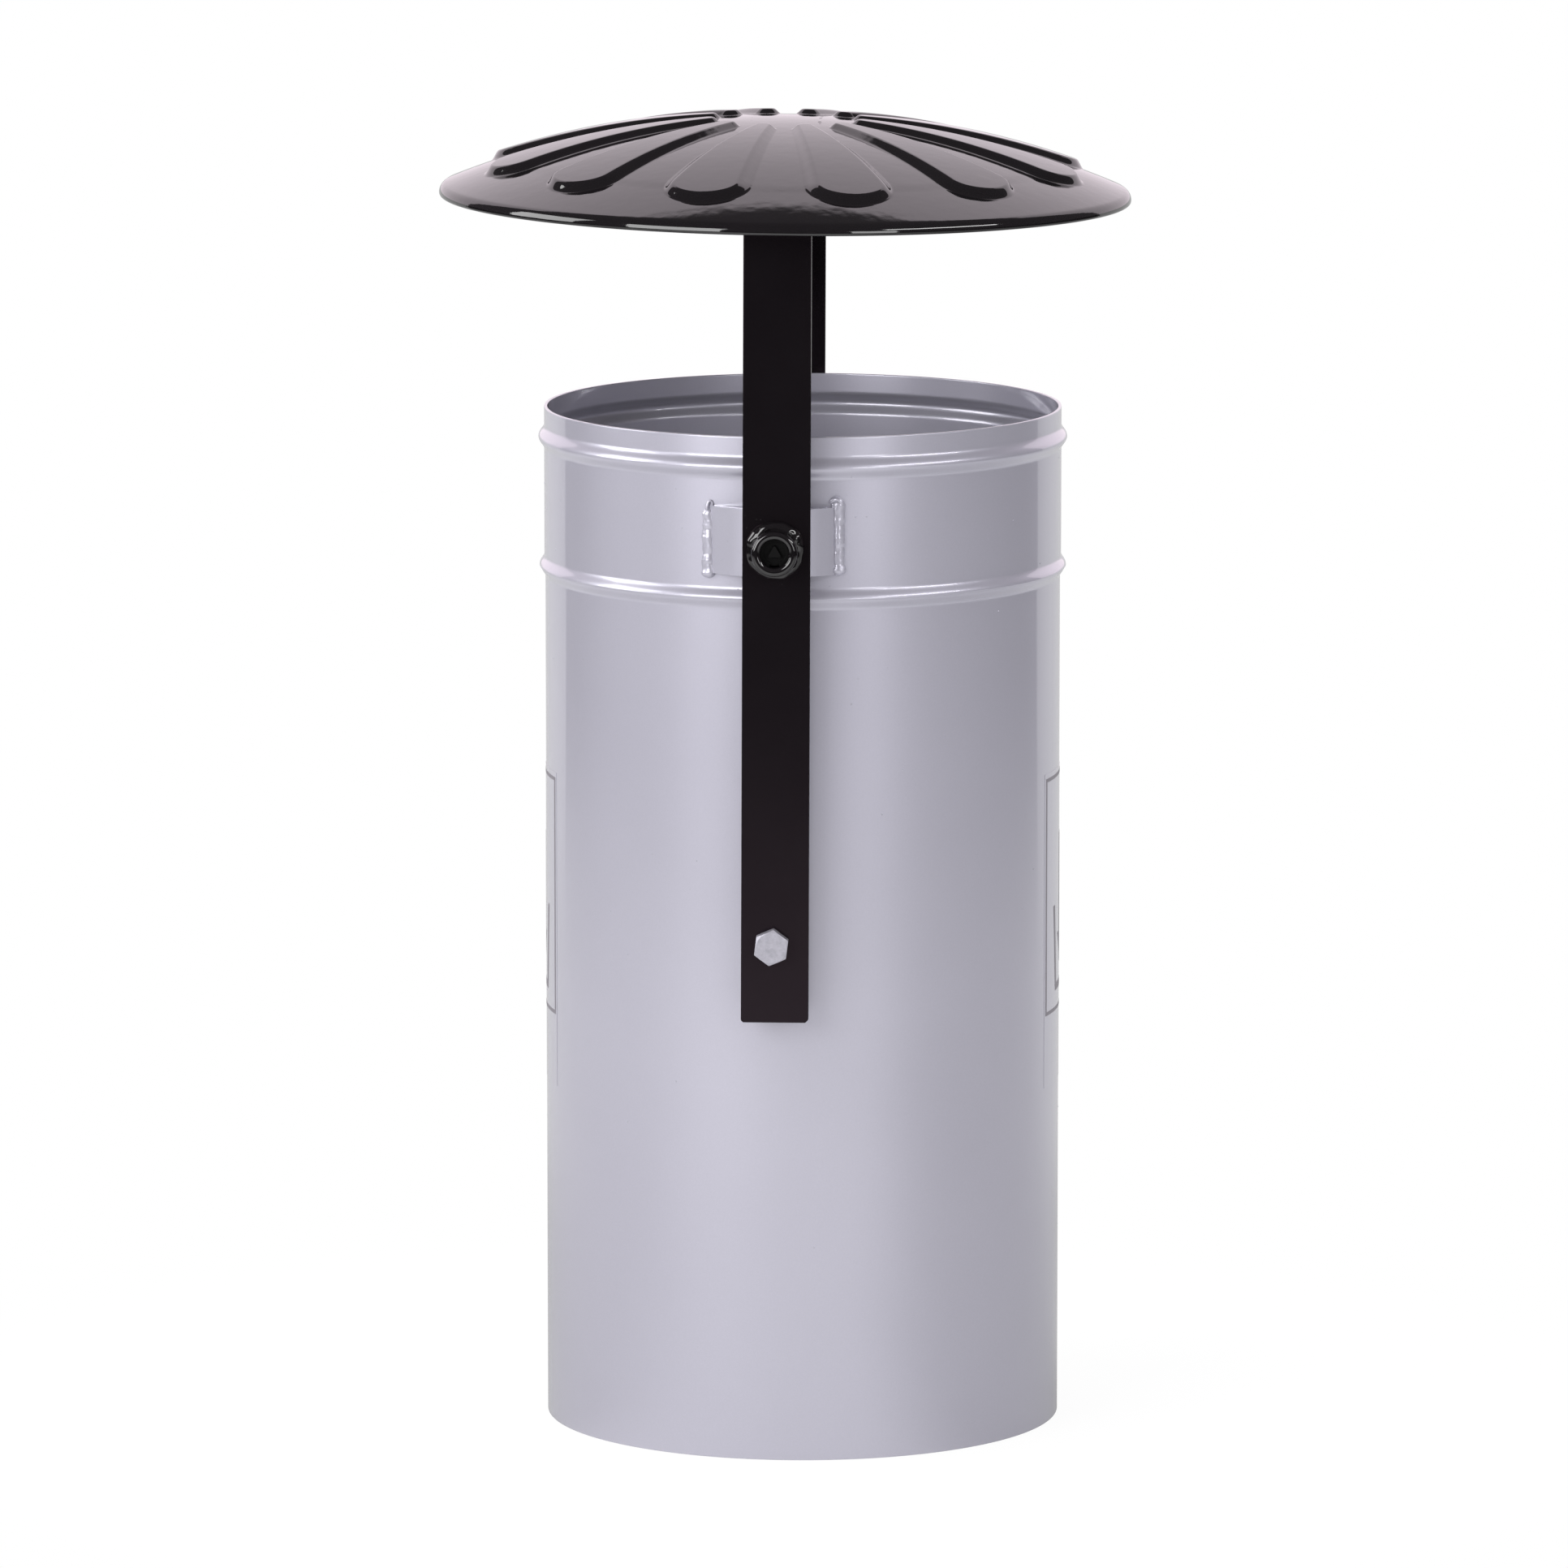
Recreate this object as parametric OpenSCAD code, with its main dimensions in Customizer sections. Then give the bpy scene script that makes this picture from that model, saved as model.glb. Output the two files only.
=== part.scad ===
// Street litter bin: a beaded sheet steel bin between the two legs of a flat bar
// hoop that carries a pressed rain canopy. The bin and the hoop turn on two pivot
// bolts, and a captive key screw locks them together.
// Frame: origin on the floor under the middle of the canopy, +Z up, key lock towards -Y.

/* [Bin] */
// Outer diameter of the plain wall
bin_d = 310; // [280:1:340]
// Height of the bin from the floor to its rim
bin_h = 615; // [520:1:650]
// Thickness of the bin's sheet
wall_t = 2; // [1.5:0.1:3]
// Sideways place of the bin's middle from the hoop's middle
bin_x = 11.8; // [0:0.2:13]
// How far the wall above the lower bead stands outside the wall below it
neck_step = 0.6; // [0:0.1:1.5]
// Distance of the upper bead's middle below the rim
bead_hi_down = 18.4; // [15:0.2:22]
// How far the upper bead stands proud of the wall
bead_hi_out = 3.4; // [1:0.1:5]
// Height of the upper bead, edge to edge
bead_hi_tall = 14.5; // [10:0.5:18]
// Distance of the lower bead's middle below the rim
bead_lo_down = 96.3; // [94:0.1:115]
// How far the lower bead stands proud of the wall
bead_lo_out = 2.9; // [1:0.1:5]
// Height of the lower bead, edge to edge
bead_lo_tall = 13.5; // [10:0.5:18]

/* [Base] */
// Height of the base plate's underside above the floor
base_up = 22; // [18:1:40]
// Thickness of the base plate
base_t = 2; // [1.5:0.1:4]
// Depth of the base plate's turned down flange
base_flange = 14; // [8:1:16]
// Radius of the bend between plate and flange
base_bend = 5; // [4:0.5:8]
// Gap between the bin's wall and the pieces that lie against its inner face
base_gap = 0.15; // [0.05:0.05:0.3]
// Diameter of the drain holes
drain_d = 12; // [6:1:20]
// Number of drain holes around the middle one
drain_n = 6; // [3:1:10]
// Diameter of the circle that the drain holes lie on
drain_pcd = 190; // [120:5:230]
// Number of weld stitches under the base plate's flange
stitch_n = 6; // [3:1:8]
// Leg of the base plate's weld stitches
stitch_leg = 3; // [2:0.5:4]
// Arc of each weld stitch, in degrees
stitch_arc = 16; // [8:1:30]
// Radius of the seam's weld bead on the inner wall
seam_r = 1.8; // [1:0.1:3]
// Direction of the wall's seam, in degrees from +X
seam_at = 118; // [110:1:150]

/* [Hoop] */
// Width of the flat bar
bar_w = 40; // [38:1:50]
// Thickness of the flat bar
bar_t = 8; // [6:0.5:10]
// Gap between the bin's wall and the bar behind the lock
bar_gap = 14; // [13:0.5:18]
// Outer radius of the hoop's two top bends
bar_bend = 30; // [20:1:40]
// Length of the legs below the pivot's middle
leg_below = 45; // [30:1:60]
// Cut corner at the foot of each leg
leg_cut = 2.6; // [1:0.1:5]
// Diameter of the fixing holes in the rear leg
fixing_d = 11; // [9:0.5:13]
// Distance of the upper fixing hole below the canopy's top
fixing_down = 82.8; // [75:0.2:90]
// Distance between the two fixing holes
fixing_apart = 60; // [40:1:66]

/* [Pivot] */
// Height of the pivot bolts' middle
pivot_z = 315; // [280:1:340]
// Sideways place of the pivot bolts from the hoop's middle
bolt_x = -2; // [-3:0.5:0]
// Diameter of the pivot bolts
bolt_d = 12; // [10:1:14]
// Length of the pivot bolts under their heads
bolt_len = 20; // [18:1:21]
// Width of the bolt heads across flats
head_af = 19; // [17:1:22]
// Height of the bolt heads
head_h = 7.5; // [6:0.5:9]
// Turn of the bolt heads, in degrees
head_turn = 7; // [0:1:30]
// Outer diameter of the bushes that the legs turn on
bush_d = 16; // [15:0.5:17]
// Outer diameter of the bosses on the bin's wall
boss_d = 28; // [24:1:34]
// Leg of the weld around each boss
boss_weld = 4.5; // [3:0.5:6]
// Running clearance around the bushes and screws
run_gap = 0.05; // [0.02:0.01:0.09]
// Play of a leg along its bush, on each side
side_play = 0.2; // [0.1:0.05:0.4]

/* [Lock] */
// Distance of the lock's middle below the rim
lock_down = 64.5; // [59:0.5:67]
// Sideways place of the lock from the hoop's middle
lock_x = -0.8; // [-2:0.2:1]
// Outer diameter of the lock sleeve
sleeve_d = 27; // [25:0.5:30]
// Bore of the lock sleeve
sleeve_bore = 17; // [16:0.5:19]
// Length of the lock sleeve
sleeve_len = 12; // [11:0.5:16]
// Rounding of the sleeve's mouth
sleeve_round = 2.4; // [0.5:0.1:2.4]
// Leg of the weld around the sleeve
sleeve_weld_leg = 4; // [2:0.5:4]
// Diameter of the key screw
screw_d = 10; // [8:0.5:12]
// How far the key screw travels to lock
lock_travel = 5; // [3:0.5:5]
// Thickness of the key screw's collar
collar_t = 2; // [1.5:0.1:3]
// Length of the three sided stud that the key takes
stud_len = 3; // [2:0.5:3.5]
// Side of the three sided stud
stud_side = 9; // [7:0.5:10]
// Thickness of the ring that keeps the screw in the sleeve
ring_t = 1; // [0.8:0.1:1.2]
// Inner diameter of the ring
ring_bore = 13.2; // [12:0.2:14]
// Gap between the ring's two ends
ring_slit = 5; // [3:0.5:6]
// Depth of the ring's groove in the sleeve
groove_deep = 0.8; // [0.5:0.1:1]
// Height of the lock bracket's plate
plate_h = 40; // [36:1:44]
// Thickness of the lock bracket's plate
plate_t = 4.5; // [4:0.5:6]
// Height of the lock bracket's middle above the lock's
plate_up = 3; // [-3:0.5:3]
// Sideways place of the bracket's middle from the hoop's middle
plate_x = 1.8; // [-2:0.2:2]
// Outer radius of the bracket's bend
plate_bend = 54; // [48:0.5:60]
// Gap between the bracket and the bar in front of it
plate_gap = 2; // [0.5:0.1:2.4]
// Radius of the weld beads at the bracket's ends
plate_weld = 3.2; // [2:0.1:4]
// How far those weld beads run past the plate's upper and lower edge
plate_weld_over = 3; // [1:0.5:4]
// Clearance around the screw in the bracket's hole
plate_hole_gap = 0.6; // [0.2:0.1:1]

/* [Canopy] */
// Outer diameter of the canopy
canopy_d = 415; // [400:1:430]
// Height of the canopy's top, without its petals
canopy_top = 787.8; // [780:0.2:800]
// Radius of the canopy's dome
dome_r = 532; // [480:1:600]
// Thickness of the canopy's sheet
sheet_t = 1.5; // [1:0.1:2]
// Radius of the rolled rim
curl_r = 2.7; // [2.2:0.1:3.5]
// Number of raised petals
petal_n = 12; // [8:1:12]
// Distance of the petals' inner ends from the middle
petal_in = 47; // [42:1:60]
// Distance of the petals' outer ends from the middle
petal_out = 178.5; // [165:0.5:185]
// Width of a petal at its inner end
petal_w_in = 16; // [14:0.5:18]
// Width of a petal at its outer end
petal_w_out = 50; // [44:0.5:54]
// Rounding of a petal's outer end
petal_end_r = 27; // [27:0.5:40]
// Rise of a petal at its inner end
petal_rise_in = 3; // [2:0.1:4]
// Rise of a petal at its outer end
petal_rise_out = 4.8; // [4:0.1:6]
// Leg of the welds between hoop and canopy
hub_weld = 4; // [2:0.5:5]
// Length of the welds between hoop and canopy
hub_weld_len = 56; // [30:2:60]

/* [Hidden] */

fine = 160;
round_fn = 64;
small_fn = 32;
dome_fn = 400;
small_steps = 3;
curve_steps = 6;
bend_steps = 10;
arch_steps = 22;
cut = 1;
lap = 0.2;

bin_r = bin_d / 2;
neck_r = bin_r + neck_step;
bore_r = bin_r - wall_t;
bead_hi_z = bin_h - bead_hi_down;
bead_lo_z = bin_h - bead_lo_down;
lock_z = bin_h - lock_down;
fixing_z = canopy_top - fixing_down - fixing_apart;
bar_back = bin_r + bar_gap;
bar_front = bar_back + bar_t;

// Height of the boss weld's crest as a share of its leg, and of a head's flat top as a share of its width
boss_crest = 0.8;
head_flat = 0.98;
boss_face = bar_back - side_play;
bush_len = bar_t + 2 * side_play;
head_seat = boss_face + bush_len;

collar_r = sleeve_bore / 2 - 2 * run_gap;
collar_back = bar_front + lock_travel;
ring_back = collar_back + collar_t + 2 * run_gap;

plate_front = bar_back - plate_gap;
plate_cy = plate_bend - plate_front;
plate_z = lock_z + plate_up;

dome_z = canopy_top - dome_r;
rim_r = canopy_d / 2 - curl_r;
rim_z = dome_z + sqrt(pow(dome_r - curl_r, 2) - rim_r * rim_r);
// The petals' tops lie on a second sphere that clears the dome by the two rises.
top_in_z = dome_at(petal_in) + petal_rise_in;
top_out_z = dome_at(petal_out) + petal_rise_out;
petal_cz = (pow(petal_out, 2) + pow(top_out_z, 2) - pow(petal_in, 2) - pow(top_in_z, 2))
    / (2 * (top_out_z - top_in_z));
petal_r = norm([petal_in, top_in_z - petal_cz]);

steel_grey = "#b8b7c4";
black_paint = "#1c1a1d";
zinc = "#c3c3c8";
dark_steel = "#3a3a3e";

// Height of the dome's outer face at a distance from its middle
function dome_at(r) = dome_z + sqrt(dome_r * dome_r - r * r);

// Points along an arc in a plane
function arc(cx, cy, r, from, to, n) =
    [for (i = [0:n]) [cx + r * cos(from + (to - from) * i / n), cy + r * sin(from + (to - from) * i / n)]];

// Points with their order turned round
function turned(points) = [for (i = [len(points) - 1:-1:0]) points[i]];

// How far a bead stands out at height z
function bead(z, mid, tall, out) = abs(z - mid) < tall / 2 ? out * (1 + cos(360 * (z - mid) / tall)) / 2 : 0;

// Outer radius of the bin's wall at height z
function wall_r(z) = (z >= bead_lo_z ? neck_r : bin_r)
    + bead(z, bead_lo_z, bead_lo_tall, bead_lo_out) + bead(z, bead_hi_z, bead_hi_tall, bead_hi_out);

// Heights at which a bead's curve is drawn
function bead_steps(mid, tall) = [for (i = [-6:6]) mid + tall * i / 12];

// Bin

// Moves its children from the middle of the hoop to the middle of the bin
module at_bin() {
    translate([bin_x, 0, 0]) children();
}

module bin_shell() {
    heights = concat([0], bead_steps(bead_lo_z, bead_lo_tall), bead_steps(bead_hi_z, bead_hi_tall), [bin_h]);
    outside = [for (z = heights) [wall_r(z), z]];
    inside = [for (z = heights) [wall_r(z) - wall_t, z]];
    color(steel_grey) at_bin() rotate_extrude($fn = fine) polygon(concat(outside, turned(inside)));
}

module shell_seam() {
    foot = base_up + base_t;
    color(steel_grey) at_bin() intersection() {
        rotate([0, 0, seam_at]) translate([bore_r - base_gap, 0, foot])
            cylinder(r = seam_r, h = bead_lo_z - bead_lo_tall / 2 - foot, $fn = round_fn);
        cylinder(r = bore_r - base_gap, h = bin_h, $fn = dome_fn);
    }
}

module base_plate() {
    edge = bore_r - base_gap;
    top = base_up + base_t;
    bend_z = top - base_bend;
    outside = concat([[0, top]], turned(arc(edge - base_bend, bend_z, base_bend, 0, 90, curve_steps)));
    inside = arc(edge - base_bend, bend_z, base_bend - base_t, 0, 90, curve_steps);
    color(steel_grey) at_bin() difference() {
        rotate_extrude($fn = fine) polygon(concat(
            outside,
            [[edge, top - base_flange], [edge - base_t, top - base_flange]],
            inside,
            [[0, base_up]]
        ));
        translate([0, 0, base_up - cut]) drain_hole();
        for (i = [0:drain_n - 1]) rotate([0, 0, 360 * i / drain_n])
            translate([drain_pcd / 2, 0, base_up - cut]) drain_hole();
    }
}

module drain_hole() {
    cylinder(d = drain_d, h = base_t + 2 * cut, $fn = small_fn);
}

module base_welds() {
    flange_z = base_up + base_t - base_flange;
    color(steel_grey) at_bin() for (i = [0:stitch_n - 1])
        rotate([0, 0, 360 * (i + 0.5) / stitch_n - stitch_arc / 2])
            rotate_extrude(angle = stitch_arc, $fn = fine) polygon([
                [bore_r, flange_z], [bore_r - stitch_leg, flange_z], [bore_r, flange_z - stitch_leg]
            ]);
}

// Lock bracket on the bin

module lock_bracket() {
    color(steel_grey) difference() {
        bracket_blank();
        at_bin() cylinder(r = neck_r, h = bin_h, $fn = fine);
        translate([lock_x, -bar_back, lock_z]) rotate([-90, 0, 0])
            cylinder(d = screw_d + 2 * plate_hole_gap, h = plate_bend, $fn = round_fn);
    }
}

// The arched plate before it is fitted to the wall
module bracket_blank() {
    translate([plate_x, plate_cy, plate_z - plate_h / 2]) linear_extrude(plate_h) difference() {
        circle(r = plate_bend, $fn = fine);
        circle(r = plate_bend - plate_t, $fn = fine);
        translate([-bin_r, 0]) square([bin_d, bin_d]);
    }
}

// Where the bracket's outer face meets the wall: side is -1 on the left and 1 on the right
function plate_end(side) =
    let (
        off = [plate_x - bin_x, plate_cy],
        d = norm(off),
        along = (d * d + neck_r * neck_r - plate_bend * plate_bend) / (2 * d),
        across = side * sqrt(neck_r * neck_r - along * along),
        u = off / d
    )
    [bin_x + u[0] * along - u[1] * across, u[1] * along + u[0] * across];

module bracket_welds() {
    half = plate_h / 2 + plate_weld_over;
    blunt = plate_weld / 2;
    color(steel_grey) difference() {
        for (side = [-1, 1]) translate(plate_end(side)) translate([0, 0, plate_z])
            rotate_extrude($fn = small_fn) polygon([
                [0, -half], [blunt, -half], [plate_weld, blunt - half],
                [plate_weld, half - blunt], [blunt, half], [0, half]
            ]);
        at_bin() cylinder(r = neck_r, h = bin_h, $fn = fine);
        bracket_blank();
    }
}

// Pivots

// Places its children at the front pivot and at the rear one, with +Z pointing away from the bin
module at_pivots(out) {
    for (back = [0, 1]) mirror([0, back, 0]) translate([bolt_x, -out, pivot_z])
        rotate([90, 0, 0]) children();
}

module pivot_bosses() {
    color(steel_grey) difference() {
        at_pivots(0) cylinder(d = boss_d, h = boss_face, $fn = round_fn);
        at_bin() translate([0, 0, pivot_z - boss_d]) cylinder(r = bin_r, h = 2 * boss_d, $fn = fine);
        at_pivots(0) cylinder(r = bolt_d / 2 + run_gap, h = boss_face + cut, $fn = round_fn);
    }
}

module boss_welds() {
    reach = boss_d / 2 + boss_weld;
    foot = sqrt(bin_r * bin_r - pow(abs(bolt_x - bin_x) + reach, 2)) - boss_weld;
    crest = bin_r + boss_crest * boss_weld - foot;
    color(steel_grey) difference() {
        at_pivots(foot) rotate_extrude($fn = round_fn) polygon([
            [boss_d / 2, 0], [reach, 0], [reach, crest - boss_weld], [boss_d / 2, crest]
        ]);
        at_bin() translate([0, 0, pivot_z - boss_d]) cylinder(r = bin_r, h = 2 * boss_d, $fn = fine);
    }
}

module pivot_bushes() {
    color(zinc) at_pivots(boss_face) difference() {
        cylinder(d = bush_d, h = bush_len, $fn = round_fn);
        translate([0, 0, -cut]) cylinder(r = bolt_d / 2 + run_gap, h = bush_len + 2 * cut, $fn = round_fn);
    }
}

module pivot_bolts() {
    flat_r = head_flat * head_af / 2;
    tip = 1.5;
    color(zinc) at_pivots(head_seat) {
        intersection() {
            rotate([0, 0, 90 - head_turn]) cylinder(d = head_af / cos(30), h = head_h, $fn = 6);
            cylinder(r1 = flat_r + head_h / tan(30), r2 = flat_r, h = head_h, $fn = round_fn);
        }
        translate([0, 0, tip - bolt_len]) cylinder(d = bolt_d, h = bolt_len - tip, $fn = round_fn);
        translate([0, 0, -bolt_len]) cylinder(d1 = bolt_d - 2 * tip, d2 = bolt_d, h = tip, $fn = round_fn);
    }
}

// Hoop

module hoop_bar() {
    foot = pivot_z - leg_below;
    half = bar_w / 2;
    color(black_paint) difference() {
        intersection() {
            rotate([90, 0, 90]) linear_extrude(bar_w, center = true)
                polygon(concat(bar_path(0, foot), turned(bar_path(bar_t, foot))));
            translate([0, bar_front + cut, 0]) rotate([90, 0, 0]) linear_extrude(2 * bar_front + 2 * cut)
                polygon([
                    [-half + leg_cut / 2, foot], [half - leg_cut, foot], [half, foot + leg_cut],
                    [half, canopy_top], [-half, canopy_top], [-half, foot + leg_cut / 2]
                ]);
        }
        at_pivots(bar_back - cut) cylinder(r = bush_d / 2 + run_gap, h = bar_t + 2 * cut, $fn = round_fn);
        translate([lock_x, cut - bar_back, lock_z]) rotate([90, 0, 0])
            cylinder(r = screw_d / 2 + run_gap, h = bar_t + 2 * cut, $fn = round_fn);
        for (z = [fixing_z, fixing_z + fixing_apart]) translate([0, bar_back - cut, z]) rotate([-90, 0, 0])
            cylinder(d = fixing_d, h = bar_t + 2 * cut, $fn = round_fn);
    }
}

// One face of the bar, seen from the side: inset 0 is the outer face, and foot is its lowest point.
// The top follows the underside of the dome, and the long edges of the bar touch it.
function bar_path(inset, foot) =
    let (
        arch_r = sqrt(pow(dome_r - sheet_t, 2) - bar_w * bar_w / 4) - run_gap,
        bend_y = bar_front - bar_bend,
        bend_z = dome_z + sqrt(pow(arch_r - bar_bend, 2) - bend_y * bend_y),
        lean = atan2(bend_z - dome_z, bend_y)
    )
    concat(
        [[bar_front - inset, foot]],
        arc(bend_y, bend_z, bar_bend - inset, 0, lean, bend_steps),
        arc(0, dome_z, arch_r - inset, lean + 1, 179 - lean, arch_steps),
        arc(-bend_y, bend_z, bar_bend - inset, 180 - lean, 180, bend_steps),
        [[inset - bar_front, foot]]
    );

// Canopy

// A dome with its middle at height cz, down to the canopy's rim
module dome(r, cz, reach) {
    intersection() {
        translate([0, 0, cz]) sphere(r = r, $fn = dome_fn);
        translate([0, 0, rim_z - curl_r]) cylinder(r = reach, h = canopy_top, $fn = fine);
    }
}

// Half of a petal's outline in plan, from its inner end to its outer end, grown by g on all sides
function petal_half(g) =
    let (
        wi = petal_w_in / 2 + g,
        wo = petal_w_out / 2 + g,
        re = petal_end_r + g,
        end_u = petal_out + g - re,
        open = asin(wo / re)
    )
    concat(
        arc(petal_in - g + wi, 0, wi, 180, 105, small_steps),
        arc(end_u, 0, re, open, 0, curve_steps)
    );

function petal_outline(g) =
    let (half = petal_half(g), n = len(half))
    concat(half, [for (i = [n - 2:-1:1]) [half[i][0], -half[i][1]]]);

// A solid dome with all its petals: inset 0 gives the outer face, and the sheet's thickness the inner one
module petal_dome(inset, reach) {
    dome(dome_r - inset, dome_z, reach);
    intersection() {
        dome(petal_r - inset, petal_cz, reach);
        for (i = [0:petal_n - 1]) rotate([0, 0, 360 * (i + 0.5) / petal_n - 90])
            linear_extrude(canopy_top + cut) polygon(petal_outline(-inset));
    }
}

module canopy() {
    reach = rim_r + lap;
    color(black_paint) {
        difference() {
            petal_dome(0, reach);
            petal_dome(sheet_t, reach + cut);
        }
        translate([0, 0, rim_z]) rotate_extrude($fn = fine) translate([rim_r, 0])
            circle(r = curl_r, $fn = small_fn);
    }
}

module canopy_welds() {
    under_r = dome_r - sheet_t;
    half = bar_w / 2;
    span = hub_weld_len / dome_r * 180 / PI;
    color(black_paint) translate([0, 0, dome_z]) rotate([0, 90, 0]) rotate([0, 0, 180 - span / 2])
        for (side = [-1, 1]) rotate_extrude(angle = span, $fn = dome_fn) polygon([
            [sqrt(under_r * under_r - half * half), side * half],
            [sqrt(under_r * under_r - pow(half + hub_weld, 2)), side * (half + hub_weld)],
            [under_r - hub_weld, side * half]
        ]);
}

// Lock

// Places its children on the lock's axis, with +Z pointing out of the bar's face
module at_lock(out) {
    translate([lock_x, -out, lock_z]) rotate([90, 0, 0]) children();
}

module lock_sleeve() {
    r_out = sleeve_d / 2;
    r_in = sleeve_bore / 2;
    groove = ring_back - bar_front - run_gap;
    color(black_paint) at_lock(bar_front) difference() {
        rotate_extrude($fn = round_fn) polygon(concat(
            [[r_in, 0], [r_out, 0]],
            arc(r_out - sleeve_round, sleeve_len - sleeve_round, sleeve_round, 0, 90, curve_steps),
            arc(r_in + sleeve_round, sleeve_len - sleeve_round, sleeve_round, 90, 180, curve_steps)
        ));
        translate([0, 0, groove]) cylinder(r = r_in + groove_deep, h = ring_t + 2 * run_gap, $fn = round_fn);
    }
}

module sleeve_weld() {
    color(black_paint) at_lock(bar_front) rotate_extrude($fn = round_fn)
        polygon(concat([[sleeve_d / 2, 0]], arc(sleeve_d / 2, 0, sleeve_weld_leg, 0, 90, curve_steps)));
}

module sleeve_ring() {
    r_in = sleeve_bore / 2;
    color(dark_steel) at_lock(ring_back) difference() {
        cylinder(r = r_in + groove_deep - run_gap, h = ring_t, $fn = round_fn);
        translate([0, 0, -cut]) cylinder(d = ring_bore, h = ring_t + 2 * cut, $fn = round_fn);
        translate([0, -r_in, 0]) cube([ring_slit, 2 * r_in, 4 * ring_t], center = true);
    }
}

module key_screw() {
    tip = 1;
    shank = collar_back - bar_back;
    color(dark_steel) at_lock(bar_back) {
        translate([0, 0, tip]) cylinder(d = screw_d, h = shank - tip, $fn = round_fn);
        cylinder(d1 = screw_d - 2 * tip, d2 = screw_d, h = tip, $fn = round_fn);
        translate([0, 0, shank]) cylinder(r = collar_r, h = collar_t, $fn = round_fn);
        translate([0, 0, shank + collar_t]) rotate([0, 0, 90])
            cylinder(r = stud_side / sqrt(3), h = stud_len, $fn = 3);
    }
}

bin_shell();
shell_seam();
base_plate();
base_welds();
lock_bracket();
bracket_welds();
pivot_bosses();
boss_welds();
pivot_bushes();
pivot_bolts();
hoop_bar();
canopy();
canopy_welds();
lock_sleeve();
sleeve_weld();
sleeve_ring();
key_screw();
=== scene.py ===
import math

import bmesh
import bpy
import numpy as np
from mathutils import Matrix, Vector, noise


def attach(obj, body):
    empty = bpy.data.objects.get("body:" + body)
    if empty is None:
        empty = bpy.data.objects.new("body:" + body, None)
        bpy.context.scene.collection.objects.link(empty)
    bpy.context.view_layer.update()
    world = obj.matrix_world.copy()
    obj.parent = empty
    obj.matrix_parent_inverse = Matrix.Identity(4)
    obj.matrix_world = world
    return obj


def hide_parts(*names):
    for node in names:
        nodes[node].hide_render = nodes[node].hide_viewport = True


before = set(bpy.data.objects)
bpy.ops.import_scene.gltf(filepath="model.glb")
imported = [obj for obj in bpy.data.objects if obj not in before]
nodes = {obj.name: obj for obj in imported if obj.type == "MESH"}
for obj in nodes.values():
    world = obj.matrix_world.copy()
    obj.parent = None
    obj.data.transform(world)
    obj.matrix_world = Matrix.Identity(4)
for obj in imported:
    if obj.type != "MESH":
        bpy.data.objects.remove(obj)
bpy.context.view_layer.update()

# Places that several pieces share. X is to the right of someone who faces the lock, -Y is towards them
mm = 0.001
binRadius = 155 * mm
binX, boltX, lockX = 11.8 * mm, -2 * mm, -0.8 * mm      # seen from the middle of the hoop
pivotZ, lockZ = 315 * mm, 550.5 * mm
barBack, barFront = 169 * mm, 177 * mm                  # the two faces of the front leg


# Small helpers

# sRGB hex to the linear colour that a shader socket takes
def hexColor(code):
    parts = [int(code[i:i + 2], 16) / 255 for i in (1, 3, 5)]
    return [c / 12.92 if c <= 0.04045 else ((c + 0.055) / 1.055) ** 2.4 for c in parts] + [1.0]


# A value may be a node, which stands for its first output, or one output, a hex colour or a number
def addNode(tree, kind, values, **settings):
    node = tree.nodes.new("ShaderNode" + kind)
    for name, value in settings.items():
        setattr(node, name, value)
    for name, value in values.items():
        if isinstance(value, bpy.types.Node):
            value = value.outputs[0]
        if isinstance(value, bpy.types.NodeSocket):
            tree.links.new(value, node.inputs[name])
        else:
            node.inputs[name].default_value = hexColor(value) if isinstance(value, str) else value
    return node


# An empty material, its tree, and the place on the piece from which patterns start
def newMaterial(name):
    material = bpy.data.materials.new(name)
    material.use_nodes = True
    tree = material.node_tree
    tree.nodes.clear()
    return material, tree, addNode(tree, "TexCoord", {}).outputs["Object"]


def makeMesh(name, verts, faces):
    mesh = bpy.data.meshes.new(name)
    mesh.from_pydata([tuple(v) for v in verts], [], [tuple(f) for f in faces])
    mesh.validate()
    form = bmesh.new()
    form.from_mesh(mesh)
    bmesh.ops.recalc_face_normals(form, faces=form.faces)
    form.to_mesh(mesh)
    form.free()
    return mesh


def makePiece(name, verts, faces, material, body, slot):
    mesh = makeMesh(name, verts, faces)
    mesh.polygons.foreach_set("use_smooth", [True] * len(mesh.polygons))
    mesh.materials.append(material)
    piece = bpy.data.objects.new(name, mesh)
    bpy.context.scene.collection.objects.link(piece)
    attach(piece, body)
    return piece


def addBevel(piece, width, segments, angle):
    bevel = piece.modifiers.new("roundedEdges", "BEVEL")
    bevel.width = width
    bevel.segments = segments
    bevel.limit_method = "ANGLE"
    bevel.angle_limit = math.radians(angle)
    bevel.harden_normals = True
    return bevel


# Keeps smooth shading off edges that turn by more than the angle
def sharpen(piece, angle=40):
    piece.data.set_sharp_from_angle(angle=math.radians(angle))


def addSubdivision(piece):
    subdivision = piece.modifiers.new("softForm", "SUBSURF")
    subdivision.levels = subdivision.render_levels = 1
    return piece


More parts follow.
